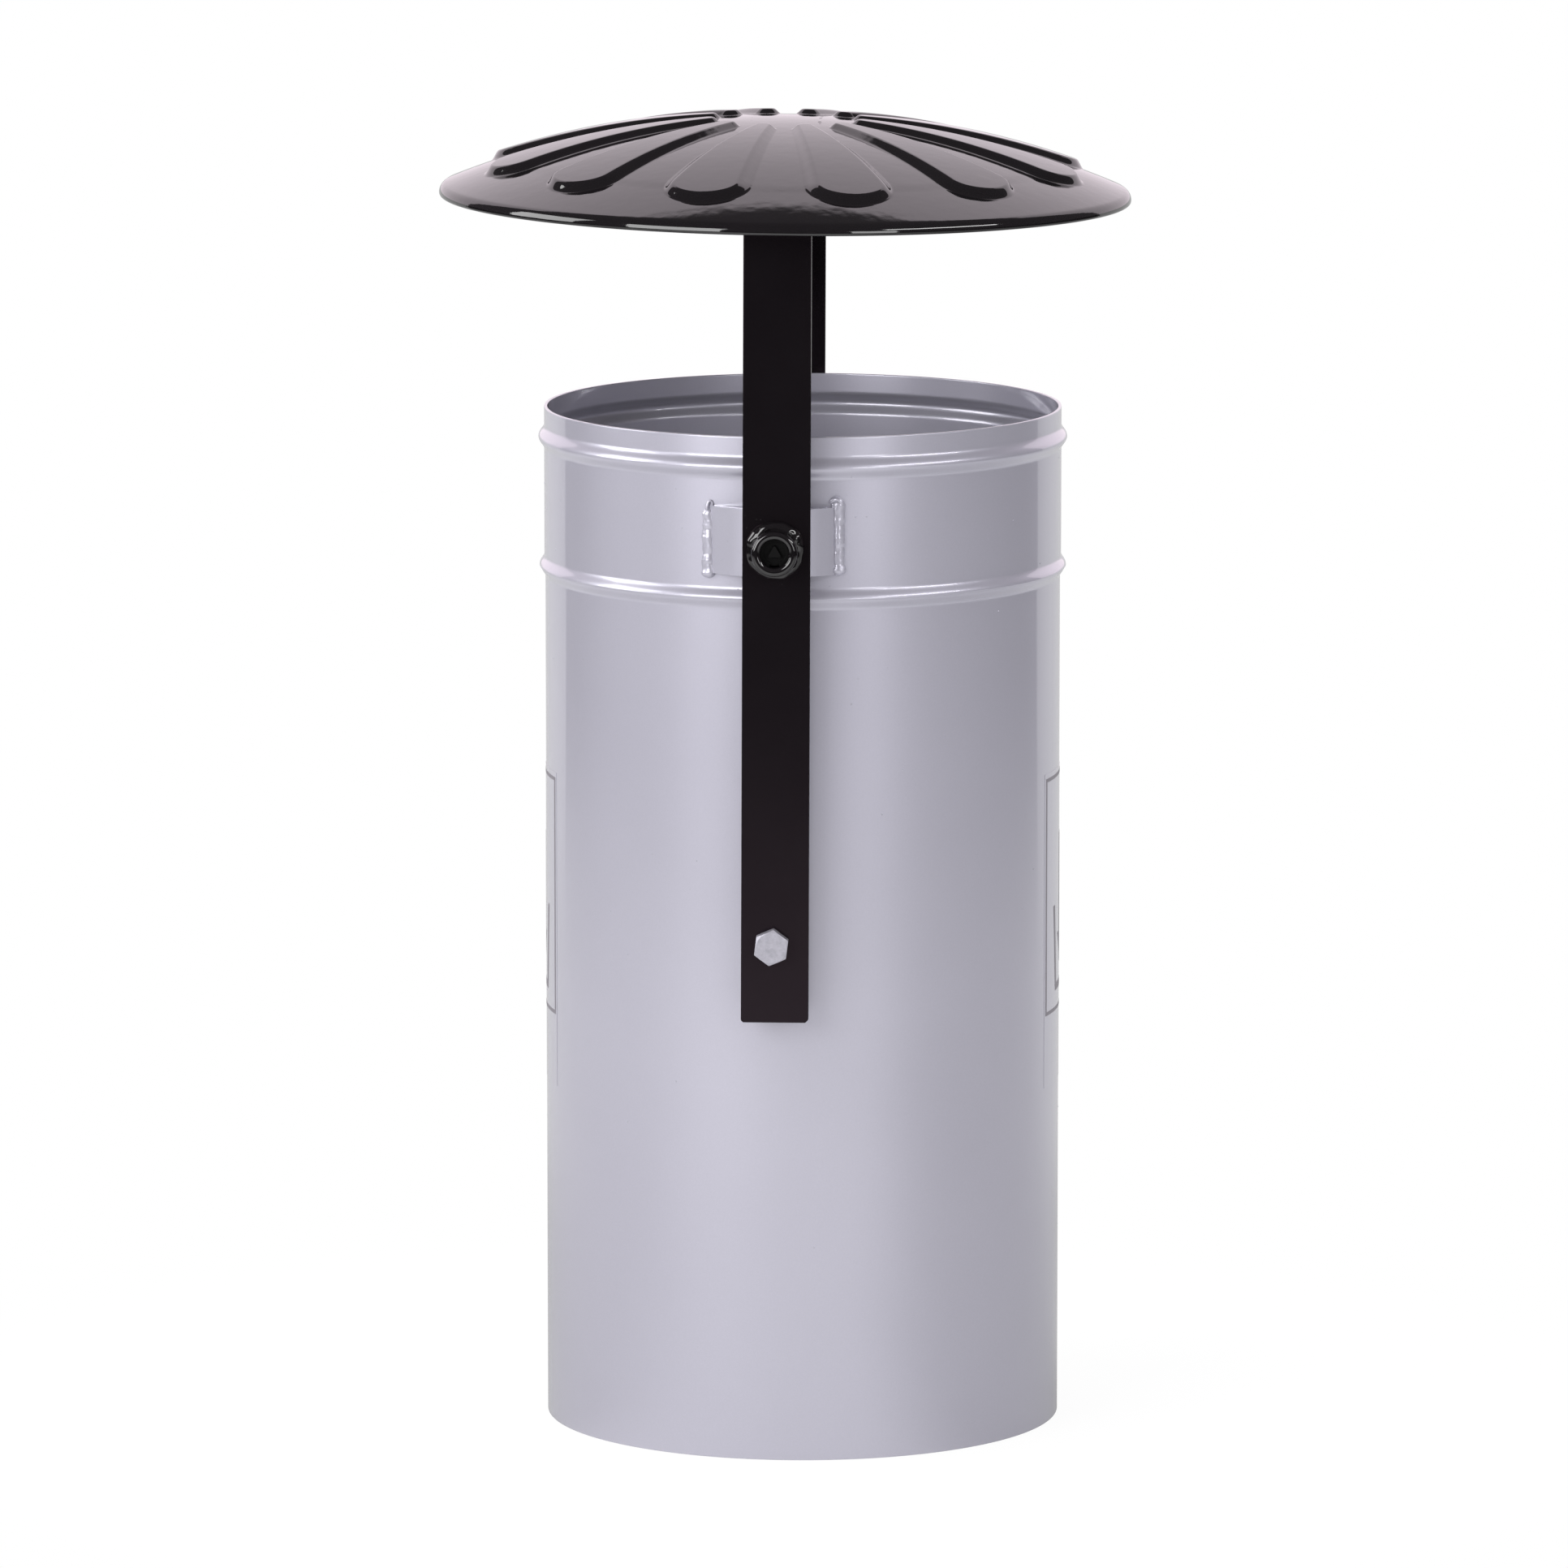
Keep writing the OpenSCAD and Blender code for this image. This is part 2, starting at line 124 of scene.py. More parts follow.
# Gives bevel weight to the sharp edges that aren't on the rim of a hole
def weighEdges(piece, holes, angle=30):
    sharpen(piece, angle)
    form = bmesh.new()
    form.from_mesh(piece.data)
    weight = form.edges.layers.float.new("bevel_weight_edge")

    def onRim(vert, centre, radius):
        return abs(math.hypot(vert.co.x - centre[0], vert.co.z - centre[2]) - radius) < 0.1 * mm

    for edge in form.edges:
        sharp = len(edge.link_faces) == 2 and edge.calc_face_angle() > math.radians(angle)
        rim = any(all(onRim(vert, centre, radius) for vert in edge.verts) for centre, radius in holes)
        edge[weight] = 1.0 if sharp and not rim else 0.0
    form.to_mesh(piece.data)
    form.free()


# Cuts a round hole along Y
def cutRound(piece, centre, radius, deep, sides=48):
    angles = [2 * math.pi * k / sides for k in range(sides)]
    verts = [(centre[0] + radius * math.cos(a), centre[1] + end, centre[2] + radius * math.sin(a))
             for end in (-deep, deep) for a in angles]
    cutter = bpy.data.objects.new("cutter", makeMesh("cutter", verts, gridFaces(2, sides)))
    bpy.context.scene.collection.objects.link(cutter)
    modifier = piece.modifiers.new("holes", "BOOLEAN")
    modifier.operation = "DIFFERENCE"
    modifier.solver = "EXACT"
    modifier.object = cutter
    bpy.context.view_layer.update()
    graph = bpy.context.evaluated_depsgraph_get()
    result = bpy.data.meshes.new_from_object(piece.evaluated_get(graph))
    piece.modifiers.clear()
    piece.data = result
    result.polygons.foreach_set("use_smooth", [True] * len(result.polygons))
    bpy.data.objects.remove(cutter)


def arcPoints(centre, radius, start, end, steps):
    angles = [math.radians(start + (end - start) * i / steps) for i in range(steps + 1)]
    return [(centre[0] + radius * math.cos(a), centre[1] + radius * math.sin(a)) for a in angles]


# A closed outline whose corners are rounded, with a point close to each end of the rounding
def roundCorners(points, radii, steps=4):
    close = 0.2 * mm
    out = []
    for i, radius in enumerate(radii):
        here = Vector(points[i])
        if radius <= 0:
            out.append(tuple(here))
            continue
        before, after = Vector(points[i - 1]) - here, Vector(points[(i + 1) % len(points)]) - here
        turn = before.angle(after)
        back = min(radius / math.tan(turn / 2), before.length * 0.45, after.length * 0.45)
        radius = back * math.tan(turn / 2)
        before, after = before.normalized(), after.normalized()
        a, b = here + before * back, here + after * back
        middle = here + (before + after).normalized() * (radius / math.sin(turn / 2))
        out.append(tuple(a + before * close))
        out += [tuple(middle + (a.lerp(b, k / steps) - middle).normalized() * radius) for k in range(steps + 1)]
        out.append(tuple(b + after * close))
    return out


# Faces between rows of a grid in which each row is closed. In a loop the last row joins the first, and
# otherwise both ends get a lid
def gridFaces(rows, count, loop=False):
    faces = [(i * count + k, (i + 1) % rows * count + k, (i + 1) % rows * count + (k + 1) % count,
              i * count + (k + 1) % count) for i in range(rows if loop else rows - 1) for k in range(count)]
    if not loop:
        faces += [tuple(range(count)), tuple((rows - 1) * count + k for k in range(count))]
    return faces


# Turns a closed outline of (radius, height) about its axis; place moves each point into the frame
def latheMesh(outline, segments, place):
    angles = [2 * math.pi * s / segments for s in range(segments)]
    verts = [place(Vector((r * math.cos(a), r * math.sin(a), h))) for a in angles for r, h in outline]
    return verts, gridFaces(segments, len(outline), loop=True)


def dropMesh(centre, radius, rows=5, sides=8):
    verts = [centre + Vector((0, 0, radius)), centre - Vector((0, 0, radius))]
    for i in range(1, rows):
        h = math.pi * i / rows
        verts += [centre + radius * Vector((math.sin(h) * math.cos(2 * math.pi * k / sides),
                                            math.sin(h) * math.sin(2 * math.pi * k / sides), math.cos(h)))
                  for k in range(sides)]
    faces = []
    for k in range(sides):
        n = (k + 1) % sides
        last = 2 + (rows - 2) * sides
        faces += [(0, 2 + k, 2 + n), (1, last + n, last + k)]
        faces += [(2 + i * sides + k, 2 + (i + 1) * sides + k, 2 + (i + 1) * sides + n, 2 + i * sides + n)
                  for i in range(rows - 2)]
    return verts, faces


# A lumpy round bead along a path
def tubeMesh(path, radii, sides, seed, rough, closed=False):
    lumps = 210
    across = Vector((0.31, 0.87, 0.38))                 # no bead runs this way
    verts = []
    count = len(path)
    for i, (centre, radius) in enumerate(zip(path, radii)):
        ahead = path[(i + 1) % count] if closed or i < count - 1 else centre
        behind = path[i - 1] if closed or i > 0 else centre
        along = (Vector(ahead) - Vector(behind)).normalized()
        side = along.cross(across).normalized()
        up = along.cross(side).normalized()
        for k in range(sides):
            a = 2 * math.pi * k / sides
            d = side * math.cos(a) + up * math.sin(a)
            p = Vector(centre) + d * radius
            verts.append(p + d * radius * rough * jitter(p, lumps, seed))
    return verts, gridFaces(count, sides, closed)


def joinMeshes(parts):
    verts, faces = [], []
    for v, f in parts:
        base = len(verts)
        verts += list(v)
        faces += [tuple(i + base for i in face) for face in f]
    return verts, faces


# Smooth noise from about -1 to 1, whose lumps are about 1 / scale metres long
def jitter(point, scale, seed):
    return noise.noise(Vector(point) * scale + Vector((seed, seed * 1.7, 0)))


def atBin(p):
    return Vector((p.x + binX, p.y, p.z))


# Places a part whose axis points away from the bin, at the front or at the rear
def outwards(x, out, z, rear=False):
    side = 1 if rear else -1
    return lambda p: Vector((x - side * p.x, side * (out + p.z), z + p.y))


# A small turn about an axis along Y, clockwise for someone who faces the lock
def leanMatrix(degrees, about):
    turn = Matrix.Rotation(math.radians(degrees), 4, "Y")
    return Matrix.Translation(about) @ turn @ Matrix.Translation(-about)


hoopLean = leanMatrix(0.22, Vector((boltX, 0, pivotZ)))  # the hoop hangs a little out of plumb
print("frame loaded")


# Finishes. Sockets that share a name with another are given by number

# Aluminium grey powder coat: fine flakes under a thin clear skin give a soft silver sheen that turns to a
# crisp pale reflection near the outline. Real flakes are finer than 0.9 mm and wouldn't show
def silverCoat(name="aluminiumGreyPowderCoat", nibs=5.0):
    coat = {"colour": "#bbb9c6", "deep": "#b3b1be", "cloudMm": 130, "flakeMm": 0.9, "flake": 0.015,
            "nibMm": 16, "peelMm": 3.846, "peel": 0.03, "peelDeep": 0.4 * mm, "metallic": 0.6,
            "roughness": 0.36, "skin": 0.03}
    material, tree, place = newMaterial(name)
    cloud = addNode(tree, "TexNoise", {"Vector": place, "Scale": 1000 / coat["cloudMm"], "Detail": 2.0})
    flake = addNode(tree, "TexNoise", {"Vector": place, "Scale": 1000 / coat["flakeMm"], "Detail": 1.0})
    tone = addNode(tree, "Mix", {0: cloud, 6: coat["deep"], 7: coat["colour"]}, data_type="RGBA")
    grain = addNode(tree, "MapRange", {"Value": flake, "From Min": 0.3, "From Max": 0.7,
                                       "To Min": 1 - coat["flake"], "To Max": 1 + coat["flake"]})
    shade = addNode(tree, "Mix", {0: 1.0, 6: tone.outputs[2], 7: grain}, data_type="RGBA",
                    blend_type="MULTIPLY")
    nib = addNode(tree, "TexVoronoi", {"Vector": place, "Scale": 1000 / coat["nibMm"]})
    nibDot = addNode(tree, "MapRange", {"Value": nib, "From Min": 0.02, "From Max": 0.055, "To Min": 1.0,
                                        "To Max": 0.0})
    peel = addNode(tree, "TexNoise", {"Vector": place, "Scale": 1000 / coat["peelMm"], "Detail": 1.0})
    height = addNode(tree, "Math", {0: nibDot, 1: nibs, 2: peel}, operation="MULTIPLY_ADD")
    bump = addNode(tree, "Bump", {"Height": height, "Strength": coat["peel"], "Distance": coat["peelDeep"]})
    surface = addNode(tree, "BsdfPrincipled", {
        "Base Color": shade.outputs[2], "Metallic": coat["metallic"], "Roughness": coat["roughness"],
        "Normal": bump, "Coat Weight": 1.0, "Coat Roughness": coat["skin"], "Coat IOR": 1.5})
    addNode(tree, "OutputMaterial", {"Surface": surface})
    return material


# Black gloss powder coat: a deep near-black body under a mirror-like skin, whose slight orange peel makes
# the edges of reflections waver
def blackCoat(name="blackGlossPowderCoat", rough=0.05, waveMm=9.0, wave=0.05, ior=1.72, glint="#ffffff"):
    coat = {"colour": "#0a080a", "dust": "#100e10", "dustMm": 45.45, "peelMm": 1.6, "peel": 0.08,
            "deep": 1.5 * mm}
    material, tree, place = newMaterial(name)
    cloud = addNode(tree, "TexNoise", {"Vector": place, "Scale": 1000 / coat["dustMm"], "Detail": 3.0})
    tone = addNode(tree, "Mix", {0: cloud, 6: coat["colour"], 7: coat["dust"]}, data_type="RGBA")
    wide = addNode(tree, "TexNoise", {"Vector": place, "Scale": 1000 / waveMm, "Detail": 1.0})
    fine = addNode(tree, "TexNoise", {"Vector": place, "Scale": 1000 / coat["peelMm"], "Detail": 1.0})
    height = addNode(tree, "Math", {0: fine, 1: coat["peel"], 2: wide}, operation="MULTIPLY_ADD")
    bump = addNode(tree, "Bump", {"Height": height, "Strength": wave, "Distance": coat["deep"]})
    surface = addNode(tree, "BsdfPrincipled", {"Base Color": tone.outputs[2], "Roughness": rough,
                                               "Normal": bump, "IOR": ior, "Specular Tint": glint})
    addNode(tree, "OutputMaterial", {"Surface": surface})
    return material


# Zinc plated steel: pale grey with a mottled, slightly rough grain and no clear reflections
def zincPlate():
    plating = {"dark": "#8f8d98", "light": "#d4d2dc", "mottleMm": 3.2, "bump": 0.25, "deep": 0.3 * mm,
               "metallic": 0.75, "roughness": 0.5}
    material, tree, place = newMaterial("zincPlatedSteel")
    mottle = addNode(tree, "TexNoise", {"Vector": place, "Scale": 1000 / plating["mottleMm"], "Detail": 5.0,
                                        "Roughness": 0.7})
    tone = addNode(tree, "Mix", {0: mottle, 6: plating["dark"], 7: plating["light"]}, data_type="RGBA")
    bump = addNode(tree, "Bump", {"Height": mottle, "Strength": plating["bump"], "Distance": plating["deep"]})
    surface = addNode(tree, "BsdfPrincipled", {"Base Color": tone.outputs[2], "Metallic": plating["metallic"],
                                               "Roughness": plating["roughness"], "Normal": bump})
    addNode(tree, "OutputMaterial", {"Surface": surface})
    return material


# Phosphated steel: dull dark grey with a slightly oily grain. Its colours are taken darker than the real
# finish, near black, as painted shade, so the key screw and snap ring deep in the sleeve look like a black hole
def phosphatedSteelWithPaintedShade():
    steel = {"dark": "#040404", "light": "#0a090a", "grainMm": 0.9, "bump": 0.2, "deep": 0.2 * mm, "ior": 1.25,
             "roughness": 0.6}
    material, tree, place = newMaterial("phosphatedSteelWithPaintedShade")
    grain = addNode(tree, "TexNoise", {"Vector": place, "Scale": 1000 / steel["grainMm"], "Detail": 3.0})
    tone = addNode(tree, "Mix", {0: grain, 6: steel["dark"], 7: steel["light"]}, data_type="RGBA")
    bump = addNode(tree, "Bump", {"Height": grain, "Strength": steel["bump"], "Distance": steel["deep"]})
    surface = addNode(tree, "BsdfPrincipled", {"Base Color": tone.outputs[2], "IOR": steel["ior"],
                                               "Roughness": steel["roughness"], "Normal": bump})
    addNode(tree, "OutputMaterial", {"Surface": surface})
    return material


# Grey print on matt vinyl: an even tone with a faint fibre-like cloud
def filmInk():
    ink = {"dark": "#625e66", "light": "#6d6970", "cloudMm": 11.11, "roughness": 0.4}
    material, tree, place = newMaterial("greyPrintOnFilm")
    cloud = addNode(tree, "TexNoise", {"Vector": place, "Scale": 1000 / ink["cloudMm"], "Detail": 2.0})
    tone = addNode(tree, "Mix", {0: cloud, 6: ink["dark"], 7: ink["light"]}, data_type="RGBA")
    surface = addNode(tree, "BsdfPrincipled", {"Base Color": tone.outputs[2], "Roughness": ink["roughness"]})
    addNode(tree, "OutputMaterial", {"Surface": surface})
    return material


silver = silverCoat()
glossBlack = blackCoat()
# the bar's coat is duller and flatter, with a faint pink glint, and the lock's is the thickest
barBlack = blackCoat("blackPowderCoatOnBar", rough=0.16, waveMm=30.0, wave=0.02, ior=1.34, glint="#ffdbf0")
lockBlack = blackCoat("blackPowderCoatOnLock", rough=0.04)
zinc = zincPlate()
# the key screw and snap ring: near black, partly painted shade of the sleeve's bore
darkSteelWithPaintedShade = phosphatedSteelWithPaintedShade()
filmClear = silverCoat("clearFilmOnSilver", nibs=0.0)
filmPrint = filmInk()
print("finishes made")


# Bin

def buildShell():
    shell = {"neck": 155.6 * mm, "wall": 2 * mm, "height": 615 * mm, "edge": 0.5 * mm, "segments": 288,
             "beads": [(518.7 * mm, 13.5 * mm, 2.9 * mm),                   # middle, tall, proud
                       (596.6 * mm, 14.5 * mm, 3.4 * mm)],
             "nibs": 130, "nibLow": 40 * mm, "nibSpan": 570 * mm, "nibSmall": 0.3 * mm, "nibLarge": 0.55 * mm}
    neck, wall, height, e = shell["neck"], shell["wall"], shell["height"], shell["edge"]

    def wallRadius(z):
        r = neck if z >= shell["beads"][0][0] else binRadius
        for middle, tall, proud in shell["beads"]:
            if abs(z - middle) < tall / 2:
                r += proud * (1 + math.cos(2 * math.pi * (z - middle) / tall)) / 2
        return r

    heights = [e * 2]
    for middle, tall, proud in shell["beads"]:
        heights += [middle + tall * t for t in [-0.55] + [i / 28 for i in range(-14, 15)] + [0.55]]
    heights.append(height - e * 2)
    outer = [(wallRadius(z), z) for z in heights]
    inner = [(wallRadius(z) - wall, z) for z in reversed(heights)]
    top = [p for r, start in ((neck - e, 0), (neck - wall + e, 90))
           for p in arcPoints((r, height - e), e, start, start + 90, 3)]
    foot = [p for r, start in ((binRadius - wall + e, 180), (binRadius - e, 270))
            for p in arcPoints((r, e), e, start, start + 90, 3)]
    parts = [latheMesh(outer + top + inner + foot, shell["segments"], atBin)]
    # nibs where dust was caught under the powder
    rng = np.random.default_rng(11)
    for _ in range(shell["nibs"]):
        a, z = rng.uniform(0, 2 * math.pi), shell["nibLow"] + shell["nibSpan"] * rng.uniform() ** 0.7
        r = wallRadius(z) - 0.1 * mm
        parts.append(dropMesh(atBin(Vector((r * math.cos(a), r * math.sin(a), z))),
                              rng.uniform(shell["nibSmall"], shell["nibLarge"])))
    piece = makePiece("bin_wall", *joinMeshes(parts), silver, "bin", "silver_paint")
    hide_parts("bin_shell")
    return wallRadius


wallRadius = buildShell()


def buildBracket():
    plate = {"bend": 54 * mm, "thick": 4.5 * mm, "tall": 40 * mm, "middle": 553.5 * mm, "front": 167 * mm,
             "aside": 1.8 * mm, "edge": 0.6 * mm, "hole": 5.6 * mm, "steps": 48}
    bend, middle = plate["bend"], plate["middle"]
    low, high = middle - plate["tall"] / 2, middle + plate["tall"] / 2
    cy = bend - plate["front"]

    def onArc(radius, a, z=0.0):
        return Vector((plate["aside"] + radius * math.sin(a), cy - radius * math.cos(a), z))

    # How far round the plate's arc its face meets the wall
    def endAngle(radius, side):
        near, far = 0.0, math.radians(140)
        for _ in range(40):
            a = (near + far) / 2
            p = onArc(radius, side * a)
            if math.hypot(p.x - binX, p.y) > wallRadius(middle):
                near = a
            else:
                far = a
        return side * near

    radii = [bend, bend - plate["thick"]]
    spans = [(endAngle(r, -1), endAngle(r, 1)) for r in radii]
    verts = []
    for i in range(plate["steps"] + 1):
        row = [(r, span[0] + (span[1] - span[0]) * i / plate["steps"]) for r, span in zip(radii, spans)]
        (outer, a), (inner, b) = row
        verts += [onArc(outer, a, low), onArc(outer, a, high), onArc(inner, b, high), onArc(inner, b, low)]
    faces = gridFaces(plate["steps"] + 1, 4)
    piece = makePiece("lock_plate", verts, faces, silver, "bin", "silver_paint")
    cutRound(piece, hoopLean @ Vector((lockX, -plate["front"], lockZ)), plate["hole"], 14 * mm)
    addBevel(piece, plate["edge"], 3, 50)
    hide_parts("lock_bracket")

    # weld beads down both ends: low and broad, with a blob where each one was ended
    bead = {"half": 3.8 * mm, "proud": 0.72, "inwards": 0.9 * mm, "lift": 0.8 * mm, "rows": 160, "sides": 24,
            "start": 0.18, "startAt": 0.06, "startLong": 0.05, "endAt": 0.94, "endLong": 0.06,
            "wander": 0.35 * mm, "rough": 0.17,
            "ends": ((3.4 * mm, -1.6 * mm, 0.0, 3.1),                # below, above, blob, seed
                     (0.8 * mm, 4.4 * mm, 0.16, 5.7))}
    feet = [onArc(bend, spans[0][side]) for side in (0, 1)]
    parts = []
    for side, (below, above, blob, seed) in enumerate(bead["ends"]):
        foot = feet[side]
        out = Vector((foot.x - binX, foot.y, 0)).normalized()
        long = plate["tall"] + below + above
        path, sizes = [], []
        for i in range(bead["rows"] + 1):
            t = i / bead["rows"]
            z = low - below + long * t
            near = min(t, 1 - t) * long / bead["half"]
            blunt = math.sqrt(1 - (1 - near) ** 2) if near < 1 else 1.0
            swell = 1 + bead["start"] * math.exp(-((t - bead["startAt"]) / bead["startLong"]) ** 2)
            swell += blob * math.exp(-((t - bead["endAt"]) / bead["endLong"]) ** 2)
            swell *= 1 + 0.07 * jitter((0, 0, z), 230, seed) + 0.05 * jitter((0, 0, z), 480, seed + 4)
            aside = bead["inwards"] * (1 - 2 * side) + bead["wander"] * jitter((0, 0, z), 110, seed + 9)
            path.append(foot + out * bead["lift"] + Vector((aside, 0, z)))
            sizes.append(bead["half"] * swell * max(0.12, blunt))
        verts, faces = tubeMesh(path, sizes, bead["sides"], seed, bead["rough"])
        parts.append(([v - out * (v - foot).dot(out) * (1 - bead["proud"]) for v in verts], faces))
    # the curl left where the left bead was begun, and the cap over the plate where the right one was ended:
    # x and z from the plate's upper corner, and radius, all in mm
    curl = ((-0.2, -4.2, 1.1), (-0.3, -1.6, 1.1), (0.1, 0.8, 1.0), (0.9, 2.6, 0.9), (2.0, 3.1, 0.9),
            (2.9, 1.8, 1.0), (3.2, 0.2, 1.0), (2.6, -0.9, 0.7))
    cap = ((1.2, 1.0, 1.6), (0.9, 3.4, 1.9), (-0.9, 4.9, 1.9), (-3.0, 4.9, 1.6), (-4.9, 3.6, 1.2),
           (-5.8, 2.2, 0.6))
    for foot, tail, out, sides, seed in ((feet[0], curl, 1.3, 10, 2.2), (feet[1], cap, 1.6, 12, 4.1)):
        path = [Vector((foot.x + x * mm, foot.y - out * mm, high + z * mm)) for x, z, r in tail]
        parts.append(tubeMesh(path, [r * mm for x, z, r in tail], sides, seed, 0.1))
    # drops of weld spatter under the paint
    spatter = {"count": 26, "aside": 62 * mm, "below": 34 * mm, "above": 42 * mm, "small": 0.25 * mm,
               "large": 0.5 * mm, "plateHalf": 36 * mm}
    rng = np.random.default_rng(7)
    for _ in range(spatter["count"]):
        x = plate["aside"] + rng.uniform(-spatter["aside"], spatter["aside"])
        z = middle + rng.uniform(-spatter["below"], spatter["above"])
        if low < z < high and abs(x - plate["aside"]) < spatter["plateHalf"]:
            y = cy - math.sqrt(bend ** 2 - (x - plate["aside"]) ** 2)
        else:
            y = -math.sqrt(wallRadius(z) ** 2 - (x - binX) ** 2)
        parts.append(dropMesh(Vector((x, y, z)), rng.uniform(spatter["small"], spatter["large"])))
    welds = addSubdivision(makePiece("plate_weld_beads", *joinMeshes(parts), silver, "bin", "silver_paint"))
    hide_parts("bracket_welds")


buildBracket()


# A chamfered hex head on a plain shank
def boltMesh(place):
    bolt = {"flats": 19 * mm, "head": 7.5 * mm, "chamfer": 30, "turn": 7, "perSide": 10, "shank": 6 * mm,
            "long": 20 * mm, "point": 1.5 * mm}
    head, shank, long = bolt["head"], bolt["shank"], bolt["long"]
    sides = 6 * bolt["perSide"]
    apothem = bolt["flats"] / 2
    flat = 0.95 * apothem
    columns = []
    for k in range(sides):
        a = 2 * math.pi * k / sides
        turned = a - math.radians(bolt["turn"])
        corner = apothem / math.cos((a + math.pi / 6) % (math.pi / 3) - math.pi / 6)
        drop = (corner - flat) * math.tan(math.radians(bolt["chamfer"]))
        outline = [(0.45 * flat, head), (flat, head), (corner, head - drop), (corner, 0), (shank, 0),
                   (shank, bolt["point"] - long), (shank - bolt["point"], -long)]
        columns.append([place(Vector((r * math.cos(turned), r * math.sin(turned), h))) for r, h in outline])
    rows = len(columns[0])
    return [column[i] for i in range(rows) for column in columns], gridFaces(rows, sides)


def buildPivots():
    pivot = {"boss": 14 * mm, "base": 150 * mm, "face": 168.8 * mm, "bore": 6.05 * mm, "bush": 8 * mm,
             "bushLong": 8.4 * mm, "weld": 3.3 * mm, "weldSteps": 72, "segments": 64, "edge": 0.25 * mm}
    boss, bore, bush, bushLong = pivot["boss"], pivot["bore"], pivot["bush"], pivot["bushLong"]
    deep = pivot["face"] - pivot["base"]
    bosses, welds, bushes, bolts = [], [], [], []
    for rear in (False, True):
        side = 1 if rear else -1
        outline = roundCorners([(bore, 0), (boss, 0), (boss, deep), (bore, deep)], [0, 0, 1.0 * mm, 0.4 * mm])
        bosses.append(latheMesh(outline, pivot["segments"], outwards(boltX, pivot["base"], pivotZ, rear)))
        path, sizes = [], []
        for k in range(pivot["weldSteps"]):
            a = 2 * math.pi * k / pivot["weldSteps"]
            x = boltX + boss * math.cos(a)
            y = side * math.sqrt(binRadius ** 2 - (x - binX) ** 2)
            path.append(Vector((x, y, pivotZ + boss * math.sin(a))))
            sizes.append(pivot["weld"] * (1 + 0.12 * jitter(path[-1], 150, 4.4)))
        welds.append(tubeMesh(path, sizes, 12, 8.1 + side, 0.25, closed=True))
        outline = roundCorners([(bore, 0), (bush, 0), (bush, bushLong), (bore, bushLong)], [0, 0, 0.3 * mm, 0])
        bushes.append(latheMesh(outline, pivot["segments"], outwards(boltX, pivot["face"], pivotZ, rear)))
        bolts.append(boltMesh(outwards(boltX, pivot["face"] + bushLong, pivotZ, rear)))
    for name, parts, material, slot, node in (
            ("pivot_boss_rounds", bosses, silver, "silver_paint", "pivot_bosses"),
            ("boss_weld_rings", welds, silver, "silver_paint", "boss_welds"),
            ("pivot_bush_rings", bushes, zinc, "zinc", "pivot_bushes"),
            ("pivot_hex_bolts", bolts, zinc, "zinc", "pivot_bolts")):
        piece = makePiece(name, *joinMeshes(parts), material, "bin", slot)
        if name == "boss_weld_rings":
            addSubdivision(piece)
        if name == "pivot_hex_bolts":
            addBevel(piece, pivot["edge"], 2, 20)
        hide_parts(node)


buildPivots()
print("bin made")


# Hoop

dome = {"radius": 532 * mm, "top": 787.8 * mm, "sheet": 1.5 * mm, "rim": 207.5 * mm}
domeZ = dome["top"] - dome["radius"]
domeTop = Vector((0, 0, domeZ + dome["radius"]))


def buildBar():
    bar = {"wide": 40 * mm, "bend": 30 * mm, "foot": 269 * mm, "edge": 1.3 * mm, "cutLeft": 1.3 * mm,
           "cutRight": 1.9 * mm, "play": 0.05 * mm, "deep": 12 * mm, "pivotHole": 8.05 * mm,
           "lockHole": 5.05 * mm, "fixingHole": 5.5 * mm, "fixings": (645 * mm, 705 * mm)}
    half, bend = bar["wide"] / 2, bar["bend"]
    archR = math.sqrt((dome["radius"] - dome["sheet"]) ** 2 - half ** 2) - bar["play"]
    bendY = barFront - bend
    bendZ = domeZ + math.sqrt((archR - bend) ** 2 - bendY ** 2)
    lean = math.degrees(math.atan2(bendZ - domeZ, bendY))
    leg = [bar["foot"] + up for up in (0, bar["cutLeft"], bar["cutRight"], 4 * mm)] + [500 * mm]

    def line(inset):
        points = [(barFront - inset, z) for z in leg]
        points += arcPoints((bendY, bendZ), bend - inset, 0, lean, 14)
        points += arcPoints((0, domeZ), archR - inset, lean, 180 - lean, 60)[1:-1]
        points += arcPoints((-bendY, bendZ), bend - inset, 180 - lean, 180, 14)
        return points + [(inset - barFront, z) for z in reversed(leg)]

    outer, inner = line(0), line(barFront - barBack)
    count = len(outer)
    left, right = [-half] * count, [half] * count
    for end, beside in ((0, 1), (-1, -2)):
        left[end] += bar["cutLeft"]
        right[end] -= bar["cutRight"]
        right[beside] -= bar["cutRight"] - bar["cutLeft"]
    verts = [(x, *p) for i in range(count) for x, p in ((left[i], outer[i]), (right[i], outer[i]),
                                                        (right[i], inner[i]), (left[i], inner[i]))]
    piece = makePiece("flat_bar_hoop", verts, gridFaces(count, 4), barBlack, "hoop", "black_paint")
    holes = [((boltX, y, pivotZ), bar["pivotHole"]) for y in (-barFront, barFront)]
    holes.append(((lockX, -barFront, lockZ), bar["lockHole"]))
    holes += [((0, barFront, z), bar["fixingHole"]) for z in bar["fixings"]]
    for centre, radius in holes:
        cutRound(piece, centre, radius, bar["deep"])
    weighEdges(piece, holes)
    addBevel(piece, bar["edge"], 4, 30).limit_method = "WEIGHT"
    piece.data.transform(hoopLean)
    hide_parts("hoop_bar")


buildBar()


